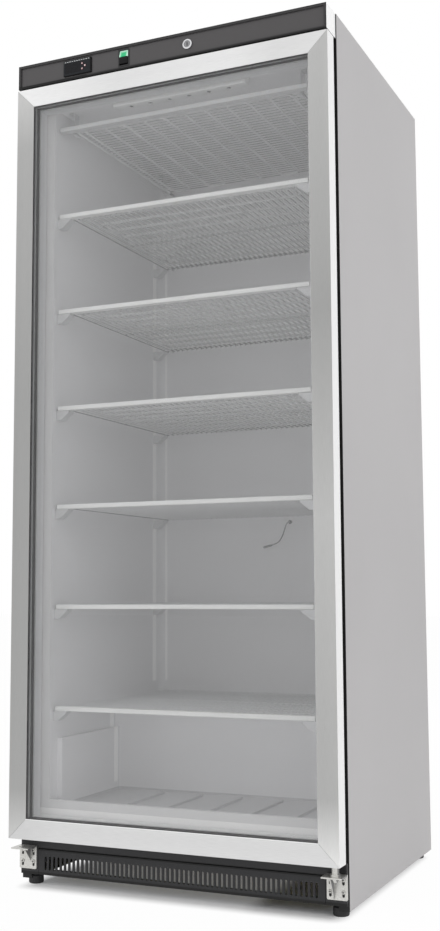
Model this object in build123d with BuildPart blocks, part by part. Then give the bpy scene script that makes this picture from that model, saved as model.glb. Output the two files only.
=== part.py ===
from build123d import *
import os
from math import dist, pi, radians, tan

# Glass-door upright freezer. Millimetres, +X right, +Y back, +Z up.
# The origin is on the floor, under the middle of the whole freezer.

os.makedirs("parts", exist_ok=True)

# ---------- overall size ----------
width = 777.0  # over the side panels
depth = 712.0  # door face to the rear edge of the side panels
height = 1903.0  # floor to the top of the canopy
skirt_gap = 13.0  # side panels stop this far above the floor
sheet = 1.0  # outer steel sheet
seat_gap = 0.3  # between pieces that rest on or face each other
slab_gap = 0.2  # between blocks of foam and what they fill

# ---------- door ----------
door_bottom = 110.0
door_thickness = 40.0
seal_gap = 20.0  # door back to cabinet front, bridged by the gasket
face_width = 45.0  # visible width of the aluminium profile
profile_wall = 2.0
pocket_depth = 12.0  # how far the profile's front lip covers the glass
lip_wall = 1.8
glass_cover = 10.0  # part of the pocket that the glass fills
pane_thicknesses = (4.0, 3.0, 4.0)
pane_space = 8.0
spacer_width = 11.0
mitre_gap = 0.1
bead_height = 16.0  # inner frame's wall that stands round the gasket
seal_inset = 19.0  # gasket's outer edge from the door's edge
seal_width = 16.5

# ---------- canopy over the door ----------
canopy_height = 57.0
canopy_gap = 3.0
canopy_inset = 2.0  # each end stops short of the side panels
canopy_lip = 4.5
lip_step = 3.5  # canopy face lies this far behind its lip
fascia_wall = 2.5

# ---------- insulated body ----------
side_wall = 67.5  # outer face of a side panel to the cavity
top_wall = 93.0
back_wall = 70.0
back_recess = 22.0  # back panel lies this far inside the rear edges
floor_rise = 60.0  # cavity floor above the door's lower edge
floor_wall = 60.0
liner_wall = 1.5
liner_corner = 25.0
fold_width = 23.5  # folded edges of the side panels
sill_height = 20.0
sill_depth = 11.0
step_front = 10.0  # face of the step over the machine compartment
step_height = 185.0  # step's top above the cavity floor
step_wall = 60.0
pad_thickness = 12.0  # raised pads low on both side walls
pad_height = 153.0
pad_setback = 35.0  # pad's front edge behind the cabinet front
rib_count = 5  # raised bands along the floor
rib_pitch = 103.0
rib_width = 72.0
rib_height = 5.0
rib_margin = 15.0  # from the sill and from the step

# ---------- shelves: evaporator tube between two wire mats ----------
shelf_count = 6
shelf_first = 391.5  # middle of the lowest shelf
shelf_pitch = 231.0
shelf_drop = 49.0  # ceiling down to the ceiling evaporator's middle
shelf_thickness = 10.0
shelf_side_gap = 31.0  # mat's side edge to the cavity wall
shelf_back_gap = 20.0  # mat's rear edge to the cavity's back
trim_setback = 12.0  # trim's face behind the cabinet front
trim_depth = 20.0
trim_side_gap = 6.0
trim_wall = 1.5
wire = 2.4
wire_gaps = 40
cross_wire = 4.0
mat_thickness = 1.6
tube_radius = 3.1
tube_pitch = 56.0
tube_passes = 9
tube_bend = 25.0
tube_margin = 20.0  # outer passes inside the mat's edge
ceiling_pitch = 53.0
ceiling_passes = 11
ceiling_bend = 24.0
ceiling_feed = 18.0  # feed run beside the first pass

# ---------- feet, front frame, grille and hinges ----------
foot_radius = 17.0
foot_side_inset = 24.5  # foot's middle from the cabinet's side
foot_front_inset = 19.0
foot_rear_inset = 46.0
pan_bottom = 25.0
pan_sheet = 1.5
base_proud = 10.0  # front frame and grille stand before the cabinet
frame_leg = 48.0
rail_bottom = 83.2
grille_top = 81.4
grille_wall = 2.5
slot_count = 59
slot_pitch = 11.1
slot_width = 5.5
slot_height = 30.0
slot_centre = 51.4
bracket_plate = 3.0
bracket_width = 44.0
bracket_bottom = 37.0
bracket_top = 88.0
tongue_reach = 38.5
hinge_inset = 17.5  # hinge axis from the door's right edge
hinge_setback = 25.0  # hinge axis behind the door's face
hinge_pin_radius = 4.0
running_gap = 0.05
bush_radius = 7.0
bush_length = 14.0

# ---------- controls ----------
thermostat_inset = 162.7  # its middle from the cabinet's left side
thermostat_bezel = (74.5, 37.0)
thermostat_body = (70.4, 28.4)
thermostat_body_depth = 50.0
window_size = (41.0, 24.0)
window_shift = -12.5
key_radius = 3.0
key_length = 5.0
key_places = {"key_set": (20.3, 0.0), "key_up": (12.8, 6.6), "key_down": (12.8, -6.6)}
switch_inset = 284.5
switch_bezel = (28.0, 41.5)
switch_body = (26.0, 38.0)
rocker_size = (22.0, 33.0)
rocker_angle = 8.0
lock_x = 58.0
lock_flange_radius = 11.5
lock_sleeve_radius = 9.5
lock_plug_radius = 8.0
cam_reach = 35.0
cam_width = 10.0
cam_plate = 2.2

# ---------- derived places ----------
half_width = width / 2
front_y = -depth / 2
rear_y = depth / 2
door_back = front_y + door_thickness
cabinet_front = door_back + seal_gap
foot_front_y = cabinet_front + foot_front_inset
canopy_bottom = height - canopy_height
canopy_middle = canopy_bottom + canopy_height / 2
door_top = canopy_bottom - canopy_gap
cavity_half = half_width - side_wall
shelf_half = cavity_half - shelf_side_gap
trim_half = cavity_half - trim_side_gap
foot_x = half_width - foot_side_inset
foot_rear_y = rear_y - foot_rear_inset
thermostat_x = thermostat_inset - half_width
switch_x = switch_inset - half_width
cavity_floor = door_bottom + floor_rise
cavity_ceiling = height - top_wall
back_panel_y = rear_y - back_recess
cavity_back = back_panel_y - back_wall
step_top = cavity_floor + step_height
compartment_front = step_front + step_wall
compartment_top = step_top - step_wall - liner_wall
tunnel_top = cavity_floor - floor_wall - liner_wall
base_face = cabinet_front - base_proud
hinge_x = half_width - hinge_inset
hinge_y = front_y + hinge_setback
trim_front = cabinet_front + trim_setback
mat_front = trim_front + trim_depth + seat_gap
mat_back = cavity_back - shelf_back_gap
canopy_face = front_y + lip_step
shelf_levels = [shelf_first + shelf_pitch * n for n in range(shelf_count)]
ceiling_level = cavity_ceiling - shelf_drop

low_corner = (Align.MIN, Align.MIN, Align.MIN)
standing = (Align.CENTER, Align.CENTER, Align.MIN)


def slab(x_span, y_span, z_span, mode=Mode.ADD):
    """A box between two corners, in the sub-part that is being built."""
    sizes = [high - low for low, high in (x_span, y_span, z_span)]
    with Locations((x_span[0], y_span[0], z_span[0])):
        Box(*sizes, align=low_corner, mode=mode)


def disc(x, y, radius, z_span, mode=Mode.ADD):
    """An upright cylinder between two heights."""
    with Locations((x, y, z_span[0])):
        Cylinder(radius, z_span[1] - z_span[0], align=standing, mode=mode)


def barrel(x, z, radius, y_span, mode=Mode.ADD):
    """A cylinder along Y between two depths."""
    with Locations(Location((x, y_span[0], z), (-90, 0, 0))):
        Cylinder(radius, y_span[1] - y_span[0], align=standing, mode=mode)


def facing(y):
    """The plane at depth y seen from the front: sketch x is X, sketch y is Z."""
    return Plane.XZ.offset(-y)


# ================= outer shell =================
def side_panel(side):
    """Folded sheet with a front and a rear return; side is -1 left, 1 right."""
    outer, inner, fold = half_width, half_width - sheet, half_width - fold_width
    outline = [
        (outer, cabinet_front),
        (outer, rear_y),
        (fold, rear_y),
        (fold, rear_y - sheet),
        (inner, rear_y - sheet),
        (inner, cabinet_front + sheet),
        (fold, cabinet_front + sheet),
        (fold, cabinet_front),
    ]
    with BuildPart() as panel:
        with BuildSketch(Plane.XY.offset(skirt_gap)):
            with BuildLine():
                Polyline([(side * x, y) for x, y in outline], close=True)
            make_face()
        extrude(amount=height - skirt_gap)
        corners = panel.edges().filter_by(Axis.Z).group_by(Axis.X)[-1 if side > 0 else 0]
        fillet(corners, radius=0.9 * sheet)
    return panel


left_side_panel = side_panel(-1)
left_side_panel.part.label = "left_side_panel"
export_step(left_side_panel.part, "parts/left_side_panel.step")

right_side_panel = side_panel(1)
right_side_panel.part.label = "right_side_panel"
export_step(right_side_panel.part, "parts/right_side_panel.step")

shell_half = half_width - sheet - seat_gap
shell_back = rear_y - sheet - seat_gap
fold_half = half_width - fold_width - seat_gap

with BuildPart() as top_panel:
    lid_front = cabinet_front + sheet + seat_gap
    slab((-shell_half, shell_half), (lid_front, shell_back), (height - sheet, height))
    slab((-fold_half, fold_half), (lid_front - sheet, lid_front), (canopy_bottom, height))
top_panel.part.label = "top_panel"
export_step(top_panel.part, "parts/top_panel.step")

with BuildPart() as back_panel:
    slab(
        (-shell_half, shell_half),
        (back_panel_y, back_panel_y + sheet),
        (compartment_top, height - sheet - seat_gap),
    )
back_panel.part.label = "back_panel"
export_step(back_panel.part, "parts/back_panel.step")

vent_slots = 12
vent_size = (60.0, 6.0)
vent_pitch = (90.0, 16.0)
gland_x = shell_half - 87.2
gland_z = 60.0
gland_radius = 9.0

with BuildPart() as rear_vent_cover:
    cover_low, cover_high = pan_bottom + pan_sheet + seat_gap, compartment_top - seat_gap
    with BuildSketch(facing(back_panel_y)):
        with Locations((0, (cover_low + cover_high) / 2)):
            Rectangle(2 * shell_half, cover_high - cover_low)
            with GridLocations(*vent_pitch, 7, vent_slots):
                SlotOverall(*vent_size, mode=Mode.SUBTRACT)
        with Locations((gland_x, gland_z)):
            Rectangle(4 * gland_radius, 4 * gland_radius)
            Circle(gland_radius, mode=Mode.SUBTRACT)
    extrude(amount=-sheet)
rear_vent_cover.part.label = "rear_vent_cover"
export_step(rear_vent_cover.part, "parts/rear_vent_cover.step")

pan_half = shell_half
pan_flange = 30.0
pan_window = (52.0, 40.0, 10.0)  # its edge from the pan's sides, its front and the compartment
pan_front = cabinet_front + sheet + seat_gap
pan_top = pan_bottom + pan_sheet

with BuildPart() as base_pan:
    pan_span = (pan_front, back_panel_y + sheet)
    slab((-pan_half, pan_half), pan_span, (pan_bottom, pan_top))
    window_half = pan_half - pan_window[0]
    window_span = (pan_front + pan_window[1], compartment_front - pan_window[2])
    slab((-window_half, window_half), window_span, (pan_bottom - 1, pan_top + 1), Mode.SUBTRACT)
    for side in (-1, 1):
        flange = sorted((side * pan_half, side * (pan_half - pan_sheet)))
        flange_span = (pan_front, back_panel_y - seat_gap)
        slab(flange, flange_span, (pan_top, pan_top + pan_flange))
base_pan.part.label = "base_pan"
export_step(base_pan.part, "parts/base_pan.step")

# ================= feet =================
foot_neck = 2.0
foot_chamfer = 1.5

with BuildPart() as levelling_feet:
    for x in (-foot_x, foot_x):
        for y in (foot_front_y, foot_rear_y):
            disc(x, y, foot_radius, (0, pan_bottom - 6))
            disc(x, y, foot_radius - foot_neck, (pan_bottom - 6, pan_bottom))
    chamfer(levelling_feet.edges().group_by(Axis.Z)[0], length=foot_chamfer)
levelling_feet.part.label = "levelling_feet"
export_step(levelling_feet.part, "parts/levelling_feet.step")

# ================= liner and foam =================
pad_half = cavity_half - pad_thickness
pad_front = cabinet_front + pad_setback
pad_top = cavity_floor + pad_height
sill_back = cabinet_front + sill_depth
sill_top = cavity_floor + sill_height
far = width  # longer than any cut needs


def cavity(grow):
    """The cold space as a solid, larger by grow on each wall but its open front."""
    half, back = cavity_half + grow, cavity_back + grow
    with BuildPart() as room:
        with BuildSketch(Plane.XY.offset(cavity_floor - grow)) as plan:
            with Locations((0, (cabinet_front + back) / 2)):
                Rectangle(2 * half, back - cabinet_front)
            fillet(plan.vertices().group_by(Axis.Y)[-1], radius=liner_corner + grow)
        extrude(amount=cavity_ceiling - cavity_floor + 2 * grow)
        under = cavity_floor - 2 * grow - 1
        slab((-far, far), (step_front + grow, far), (under, step_top - grow), Mode.SUBTRACT)
        for side in (-1, 1):
            pad = sorted((side * (pad_half + grow), side * far))
            pad_span = (pad_front + grow, step_front + grow)
            slab(pad, pad_span, (under, pad_top - grow), Mode.SUBTRACT)
        sill_span = (cabinet_front - 1, sill_back - grow)
        slab((-far, far), sill_span, (under, sill_top - grow), Mode.SUBTRACT)
    return room.part


with BuildPart() as inner_liner:
    add(cavity(liner_wall))
    flange_low, flange_high = tunnel_top, canopy_bottom - seat_gap
    slab(
        (-fold_half, fold_half),
        (cabinet_front, cabinet_front + liner_wall),
        (flange_low, flange_high),
    )
    add(cavity(0), mode=Mode.SUBTRACT)
    with BuildSketch(Plane.XY.offset(cavity_floor - liner_wall / 2)):
        rib_span = (sill_back + rib_margin, step_front - rib_margin)
        with Locations((0, sum(rib_span) / 2)):
            with GridLocations(rib_pitch, 0, rib_count, 1):
                RectangleRounded(rib_width, rib_span[1] - rib_span[0], radius=rib_margin)
    extrude(amount=rib_height + liner_wall / 2)
inner_liner.part.label = "inner_liner"
export_step(inner_liner.part, "parts/inner_liner.step")

foam_in = cavity_half + liner_wall + slab_gap
foam_out = half_width - sheet - slab_gap
foam_front = cabinet_front + liner_wall + slab_gap
foam_back = back_panel_y - slab_gap
foam_top = height - sheet - slab_gap
liner_back = cavity_back + liner_wall
liner_under = cavity_floor - liner_wall - slab_gap

with BuildPart() as foam_insulation:
    middle = (slab_gap - foam_in, foam_in - slab_gap)
    for side in (-1, 1):
        wall = sorted((side * foam_in, side * foam_out))
        slab(wall, (foam_front, compartment_front), (tunnel_top, foam_top))
        slab(wall, (compartment_front + slab_gap, foam_back), (compartment_top, foam_top))
        pad_in, pad_out = pad_half + liner_wall + slab_gap, foam_in - slab_gap
        pad = sorted((side * pad_in, side * pad_out))
        pad_span = (pad_front + liner_wall + slab_gap, step_front + liner_wall)
        slab(pad, pad_span, (cavity_floor, pad_top - liner_wall - slab_gap))
    slab(middle, (foam_front, compartment_front), (tunnel_top, liner_under))
    step_face = step_front + liner_wall + slab_gap
    step_roof = step_top - liner_wall - slab_gap
    slab(middle, (step_face, compartment_front), (liner_under + slab_gap, step_roof))
    slab(middle, (compartment_front + slab_gap, liner_back), (compartment_top, step_roof))
    slab(middle, (liner_back + slab_gap, foam_back), (compartment_top, foam_top))
    roof = (cavity_ceiling + liner_wall + slab_gap, foam_top)
    slab(middle, (foam_front, liner_back), roof)
    sill_span = (foam_front, sill_back - liner_wall - slab_gap)
    sill_lift = (cavity_floor, sill_top - liner_wall - slab_gap)
    slab((-cavity_half, cavity_half), sill_span, sill_lift)
foam_insulation.part.label = "foam_insulation"
export_step(foam_insulation.part, "parts/foam_insulation.step")

# ================= front frame, grille =================
leg_in = half_width - frame_leg
front_back = cabinet_front - seat_gap
frame_top = door_bottom - 1.5

with BuildPart() as base_front_frame:
    frame_half = half_width - canopy_inset
    slab((-frame_half, frame_half), (base_face, front_back), (pan_bottom, frame_top))
    slab((-leg_in, leg_in), (base_face - 1, cabinet_front), (0, rail_bottom), Mode.SUBTRACT)
    fillet(base_front_frame.edges().filter_by(Axis.Z).group_by(Axis.Y)[0], radius=1.0)
base_front_frame.part.label = "base_front_frame"
export_step(base_front_frame.part, "parts/base_front_frame.step")

grille_half = leg_in - seat_gap
grille_rim = 2.0

with BuildPart() as vent_grille:
    grille_span = (pan_bottom + seat_gap, grille_top)
    slab((-grille_half, grille_half), (base_face, front_back), grille_span)
    hollow_half = grille_half - grille_rim
    hollow_span = (grille_span[0] + grille_rim, grille_span[1] - grille_rim)
    hollow_depth = (base_face + grille_wall, cabinet_front)
    slab((-hollow_half, hollow_half), hollow_depth, hollow_span, Mode.SUBTRACT)
    with BuildSketch(facing(base_face)):
        with Locations((0, slot_centre)):
            with GridLocations(slot_pitch, 0, slot_count, 1):
                SlotOverall(slot_height, slot_width, rotation=90)
    extrude(amount=-grille_wall, mode=Mode.SUBTRACT)
vent_grille.part.label = "vent_grille"
export_step(vent_grille.part, "parts/vent_grille.step")

# ================= lower hinge =================
screw_columns = (8.5, 36.5)  # from the bracket's outer edge
screw_rows = (53.5, 77.5)
slot_below = 4.0  # each slot's middle under its screw
screw_slot = (13.0, 5.6)
screw_radius = 4.0
screw_head = 2.5
gusset_x = half_width - 28.5
gusset_plate = 2.5
gusset_reach = 27.0
gusset_drops = {-1: 31.0, 1: 47.5}  # left, right
plate_front = base_face - bracket_plate
tongue_bottom = bracket_top - bracket_plate


def hinge_bracket(side):
    """Screwed plate, forward tongue with the pin hole, and a gusset under it."""
    edge_out, edge_in = side * half_width, side * (half_width - bracket_width)
    with BuildPart() as bracket:
        with BuildSketch(facing(plate_front)) as plate:
            with Locations(((edge_out + edge_in) / 2, (bracket_bottom + bracket_top) / 2)):
                Rectangle(bracket_width, bracket_top - bracket_bottom)
            fillet(plate.vertices().group_by(Axis.Z)[0], radius=3.0)
            for column in screw_columns:
                for row in screw_rows:
                    with Locations((edge_out - side * column, row - slot_below)):
                        SlotOverall(*screw_slot, rotation=90, mode=Mode.SUBTRACT)
        extrude(amount=-bracket_plate)
        tongue = sorted((edge_out, edge_in))
        tongue_span = (base_face - tongue_reach, base_face)
        slab(tongue, tongue_span, (tongue_bottom, bracket_top))
        disc(
            side * hinge_x,
            hinge_y,
            hinge_pin_radius + seat_gap,
            (tongue_bottom - 1, bracket_top + 1),
            Mode.SUBTRACT,
        )
        with BuildSketch(Plane.YZ.offset(side * gusset_x - gusset_plate / 2)):
            with BuildLine():
                Polyline(
                    (plate_front, tongue_bottom),
                    (plate_front - gusset_reach, tongue_bottom),
                    (plate_front, tongue_bottom - gusset_drops[side]),
                    close=True,
                )
            make_face()
        extrude(amount=gusset_plate)
    return bracket


hinge_bracket_left = hinge_bracket(-1)
hinge_bracket_left.part.label = "hinge_bracket_left"
export_step(hinge_bracket_left.part, "parts/hinge_bracket_left.step")

hinge_bracket_right = hinge_bracket(1)
hinge_bracket_right.part.label = "hinge_bracket_right"
export_step(hinge_bracket_right.part, "parts/hinge_bracket_right.step")

nut_height = 5.0
nut_radius = 7.0
washer_height = 5.0
washer_radius = 10.0
collar_radius = 7.5

with BuildPart() as hinge_fasteners:
    for side in (-1, 1):
        for column in screw_columns:
            for row in screw_rows:
                x = side * (half_width - column)
                head = (plate_front - screw_head, plate_front - slab_gap)
                barrel(x, row, screw_radius, head)
                barrel(x, row, 0.5 * screw_slot[1] - seat_gap, (head[1], base_face - slab_gap))
    fillet(hinge_fasteners.edges().group_by(Axis.Y)[0], radius=1.2)
    nut_top = tongue_bottom - slab_gap
    with BuildSketch(Plane.XY.offset(nut_top - nut_height)):
        with Locations((hinge_x, hinge_y)):
            RegularPolygon(nut_radius, 6)
            Circle(hinge_pin_radius + running_gap, mode=Mode.SUBTRACT)
    extrude(amount=nut_height)
hinge_fasteners.part.label = "hinge_fasteners"
export_step(hinge_fasteners.part, "parts/hinge_fasteners.step")

with BuildPart() as lower_hinge_pin:
    washer_top = bracket_top + washer_height
    pin_low = nut_top - nut_height - 3
    pin_high = door_bottom + bush_length - 2
    disc(hinge_x, hinge_y, hinge_pin_radius, (pin_low, pin_high))
    disc(hinge_x, hinge_y, washer_radius, (bracket_top, washer_top))
    disc(hinge_x, hinge_y, collar_radius, (washer_top, door_bottom - seat_gap))
    chamfer(lower_hinge_pin.edges().group_by(Axis.Z)[-1], length=1.0)
lower_hinge_pin.part.label = "lower_hinge_pin"
export_step(lower_hinge_pin.part, "parts/lower_hinge_pin.step")

# ================= canopy =================
canopy_half = half_width - canopy_inset
canopy_back = cabinet_front - seat_gap
cam_front = front_y + 28.3
cam_slot = (lock_x - 7.0, lock_x + cam_reach + 3.0)
cam_slot_depth = (cam_front - 1.5, cam_front + cam_plate + 1.5)
pin_hole = hinge_pin_radius + 0.6
top_plate_low = canopy_bottom + sheet + seat_gap
top_plate_high = top_plate_low + bracket_plate

with BuildPart() as canopy_shell:
    slab((-canopy_half, canopy_half), (front_y, canopy_back), (canopy_bottom, height))
    inner_half = canopy_half - sheet
    inner_lift = (canopy_bottom + sheet, height - sheet)
    slab((-inner_half, inner_half), (front_y - 1, cabinet_front), inner_lift, Mode.SUBTRACT)
    below = (canopy_bottom - 1, canopy_bottom + 2 * sheet)
    slab(cam_slot, cam_slot_depth, below, Mode.SUBTRACT)
    disc(hinge_x, hinge_y, pin_hole, below, Mode.SUBTRACT)
canopy_shell.part.label = "canopy_shell"
export_step(canopy_shell.part, "parts/canopy_shell.step")

fascia_half = canopy_half - sheet - seat_gap
fascia_tall = canopy_height - 2 * (sheet + seat_gap)
cut_gap = 0.5  # round each control in the fascia

with BuildPart() as canopy_fascia:
    with BuildSketch(facing(front_y)):
        with Locations((0, canopy_middle)):
            Rectangle(2 * fascia_half, fascia_tall)
    extrude(amount=-(lip_step + fascia_wall))
    with BuildSketch(facing(front_y)):
        with Locations((0, canopy_middle)):
            Rectangle(2 * (fascia_half - canopy_lip), fascia_tall - 2 * canopy_lip)
    extrude(amount=-lip_step, mode=Mode.SUBTRACT)
    with BuildSketch(facing(canopy_face)):
        with Locations((thermostat_x, canopy_middle)):
            Rectangle(*[size + 2 * cut_gap for size in thermostat_body])
        with Locations((switch_x, canopy_middle)):
            Rectangle(*[size + 2 * cut_gap for size in switch_body])
        with Locations((lock_x, canopy_middle)):
            Circle(lock_sleeve_radius + cut_gap)
    extrude(amount=-fascia_wall, mode=Mode.SUBTRACT)
canopy_fascia.part.label = "canopy_fascia"
export_step(canopy_fascia.part, "parts/canopy_fascia.step")

hinge_plate_half = 18.0
hinge_plate_front = 14.0  # before the hinge axis
hinge_plate_lift = 30.0

with BuildPart() as top_hinge_plate:
    plate_span = (hinge_x - hinge_plate_half - 5, hinge_x + hinge_plate_half - 5)
    plate_back = cabinet_front - slab_gap
    lift = (top_plate_low, top_plate_high)
    slab(plate_span, (hinge_y - hinge_plate_front, plate_back), lift)
    upright = (plate_back - bracket_plate, plate_back)
    slab(plate_span, upright, (top_plate_low, top_plate_low + hinge_plate_lift))
    disc(hinge_x, hinge_y, hinge_pin_radius, (door_top - bush_length + 2, top_plate_low))
top_hinge_plate.part.label = "top_hinge_plate"
export_step(top_hinge_plate.part, "parts/top_hinge_plate.step")

# ================= thermostat =================
bezel_front = front_y + 0.8
bezel_back = canopy_face - slab_gap
window_recess = 1.4
key_hole_depth = 6.2

with BuildPart() as thermostat_case:
    with BuildSketch(facing(bezel_front)) as bezel:
        with Locations((thermostat_x, canopy_middle)):
            Rectangle(*thermostat_bezel)
        fillet(bezel.vertices(), radius=2.0)
    extrude(amount=-(bezel_back - bezel_front))
    with BuildSketch(facing(bezel_back)):
        with Locations((thermostat_x, canopy_middle)):
            Rectangle(*thermostat_body)
    extrude(amount=-thermostat_body_depth)
    with BuildSketch(facing(bezel_front)):
        with Locations((thermostat_x + window_shift, canopy_middle)):
            Rectangle(*window_size)
    extrude(amount=-window_recess, mode=Mode.SUBTRACT)
    with BuildSketch(facing(bezel_front)):
        for across, up in key_places.values():
            with Locations((thermostat_x + across, canopy_middle + up)):
                Circle(key_radius + seat_gap)
    extrude(amount=-key_hole_depth, mode=Mode.SUBTRACT)
thermostat_case.part.label = "thermostat_case"
export_step(thermostat_case.part, "parts/thermostat_case.step")

with BuildPart() as thermostat_window:
    with BuildSketch(facing(bezel_front + 0.1)):
        with Locations((thermostat_x + window_shift, canopy_middle)):
            Rectangle(*[size - 2 * slab_gap for size in window_size])
    extrude(amount=-(window_recess - slab_gap))
thermostat_window.part.label = "thermostat_window"
export_step(thermostat_window.part, "parts/thermostat_window.step")

for key_name, (across, up) in key_places.items():
    with BuildPart() as key:
        key_span = (front_y, front_y + key_length)
        barrel(thermostat_x + across, canopy_middle + up, key_radius, key_span)
        fillet(key.edges().group_by(Axis.Y)[0], radius=0.5)
    key.part.label = key_name
    export_step(key.part, f"parts/{key_name}.step")

# ================= rocker switch =================
rocker_half = rocker_size[1] / 2
rocker_pivot_y = front_y + 12.0
rocker_face = 9.6  # ends of its face before the pivot; the middle stands proud
rocker_rise = rocker_half * tan(radians(rocker_angle))
stud_radius = 1.5
stud_reach = 1.3
switch_depth = 30.0
switch_front = canopy_face - 1.4
switch_cavity = (rocker_size[0] + 0.7, rocker_size[1] + 2.9)

with BuildPart() as switch_frame:
    with BuildSketch(facing(switch_front)) as rim:
        with Locations((switch_x, canopy_middle)):
            Rectangle(*switch_bezel)
        fillet(rim.vertices(), radius=1.5)
    extrude(amount=-(canopy_face - slab_gap - switch_front))
    with BuildSketch(facing(canopy_face - slab_gap)):
        with Locations((switch_x, canopy_middle)):
            Rectangle(*switch_body)
    extrude(amount=-switch_depth)
    with BuildSketch(facing(switch_front)):
        with Locations((switch_x, canopy_middle)):
            Rectangle(*switch_cavity)
    extrude(amount=-(switch_depth - 2), mode=Mode.SUBTRACT)
    with Locations(Location((switch_x, rocker_pivot_y, canopy_middle), (0, 90, 0))):
        reach = rocker_size[0] / 2 + stud_reach + 0.2
        Cylinder(stud_radius + running_gap, 2 * reach, mode=Mode.SUBTRACT)
switch_frame.part.label = "switch_frame"
export_step(switch_frame.part, "parts/switch_frame.step")

with BuildPart() as switch_rocker:
    with BuildSketch(Plane.YZ.offset(-rocker_size[0] / 2)):
        with BuildLine():
            Polyline(
                (-rocker_face, rocker_half),
                (-rocker_face - rocker_rise, 0),
                (-rocker_face, -rocker_half),
                (1, -rocker_half),
                (5, -rocker_half / 2),
                (5, rocker_half / 2),
                (1, rocker_half),
                close=True,
            )
        make_face()
    extrude(amount=rocker_size[0])
    with Locations(Location((0, 0, 0), (0, 90, 0))):
        Cylinder(stud_radius, rocker_size[0] + 2 * stud_reach)
rocker_place = Location((switch_x, rocker_pivot_y, canopy_middle), (-rocker_angle, 0, 0))
switch_rocker.part.locate(rocker_place)
switch_rocker.part.label = "switch_rocker"
export_step(switch_rocker.part, "parts/switch_rocker.step")

# ================= lock =================
sleeve_end = front_y + 26.0
plug_front = front_y + 0.6
plug_end = cam_front - slab_gap
tail_radius = 4.0
cam_screw_radius = 6.0
keyway = (2.0, 9.0)
keyway_depth = 8.0

with BuildPart() as lock_barrel:
    barrel(lock_x, canopy_middle, lock_flange_radius, (front_y, canopy_face - slab_gap))
    barrel(lock_x, canopy_middle, lock_sleeve_radius, (canopy_face - slab_gap, sleeve_end))
    fillet(lock_barrel.edges().group_by(Axis.Y)[0], radius=1.0)
    bore = lock_plug_radius + running_gap
    barrel(lock_x, canopy_middle, bore, (front_y - 1, sleeve_end + 1), Mode.SUBTRACT)
lock_barrel.part.label = "lock_barrel"
export_step(lock_barrel.part, "parts/lock_barrel.step")

with BuildPart() as lock_plug:
    barrel(lock_x, canopy_middle, lock_plug_radius, (plug_front, plug_end))
    cam_back = cam_front + cam_plate
    barrel(lock_x, canopy_middle, tail_radius, (plug_end, cam_back + slab_gap))
    screw_span = (cam_back + slab_gap, cam_back + 2.5)
    barrel(lock_x, canopy_middle, cam_screw_radius, screw_span)
    with BuildSketch(facing(plug_front)):
        with Locations((lock_x, canopy_middle)):
            Rectangle(*keyway)
    extrude(amount=-keyway_depth, mode=Mode.SUBTRACT)
    with BuildSketch(facing(cam_front)):
        with Locations((lock_x + cam_reach / 2, canopy_middle)):
            SlotCenterToCenter(cam_reach, cam_width)
        with Locations((lock_x, canopy_middle)):
            Circle(tail_radius + 2.5)
            Circle(tail_radius + slab_gap, mode=Mode.SUBTRACT)
    extrude(amount=-cam_plate)
lock_plug.part.label = "lock_plug"
export_step(lock_plug.part, "parts/lock_plug.step")

# ================= door =================
door_middle = (door_bottom + door_top) / 2
door_half_height = (door_top - door_bottom) / 2
frame_sides = {"left": (-1, 0), "right": (1, 0), "bottom": (0, -1), "top": (0, 1)}
box_width = face_width - pocket_depth


def frame_bar(side, section, hollow=None):
    """One mitred bar round the door. Section points are (in from the door's edge,
    back from its face); the hollow is (in, in, back, back) between its walls."""
    out_x, out_z = frame_sides[side]
    upright = out_x != 0

    def place(inward, back):
        if upright:
            return (out_x * (half_width - inward), front_y + back)
        return (front_y + back, door_middle + out_z * (door_half_height - inward))

    plane = Plane.XY.offset(door_bottom) if upright else Plane.YZ.offset(-half_width)
    with BuildPart() as bar:
        with BuildSketch(plane):
            with BuildLine():
                Polyline([place(*point) for point in section], close=True)
            make_face()
            if hollow:
                in_low, in_high, back_low, back_high = hollow
                corners = [(in_low, back_low), (in_high, back_low), (in_high, back_high), (in_low, back_high)]
                with BuildLine():
                    Polyline([place(*point) for point in corners], close=True)
                make_face(mode=Mode.SUBTRACT)
        extrude(amount=door_top - door_bottom if upright else width)
        for end in (-1, 1):
            end_x, end_z = (0, end) if upright else (end, 0)
            corner_x = (out_x + end_x) * half_width
            corner_z = door_middle + (out_z + end_z) * door_half_height
            inward = Vector(out_x - end_x, 0, out_z - end_z).normalized()
            origin = Vector(corner_x, front_y, corner_z) + inward * (mitre_gap / 2)
            split(bisect_by=Plane(origin=origin, z_dir=inward), keep=Keep.TOP)
    return bar


profile = [
    (0, 0),
    (face_width, 0),
    (face_width, lip_wall),
    (box_width, lip_wall),
    (box_width, door_thickness),
    (0, door_thickness),
]
profile_hollow = (profile_wall, box_width - profile_wall, profile_wall, door_thickness - profile_wall)
lower_bush = (door_bottom, door_bottom + bush_length)
upper_bush = (door_top - bush_length, door_top)
bush_hole = bush_radius + running_gap


def door_profile(side, cut_spans):
    """A bar of the aluminium frame with the holes for the hinge bushes."""
    with BuildPart() as bar:
        add(frame_bar(side, profile, profile_hollow).part)
        for low, high in cut_spans:
            disc(hinge_x, hinge_y, bush_hole, (low - seat_gap, high + seat_gap), Mode.SUBTRACT)
        if side == "top":
            wall = (door_top - 2 * profile_wall, door_top + 1)
            slab(cam_slot, cam_slot_depth, wall, Mode.SUBTRACT)
    return bar


door_left_stile = door_profile("left", [])
door_left_stile.part.label = "door_left_stile"
export_step(door_left_stile.part, "parts/door_left_stile.step")

door_right_stile = door_profile("right", [lower_bush, upper_bush])
door_right_stile.part.label = "door_right_stile"
export_step(door_right_stile.part, "parts/door_right_stile.step")

door_bottom_rail = door_profile("bottom", [lower_bush])
door_bottom_rail.part.label = "door_bottom_rail"
export_step(door_bottom_rail.part, "parts/door_bottom_rail.step")

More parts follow.
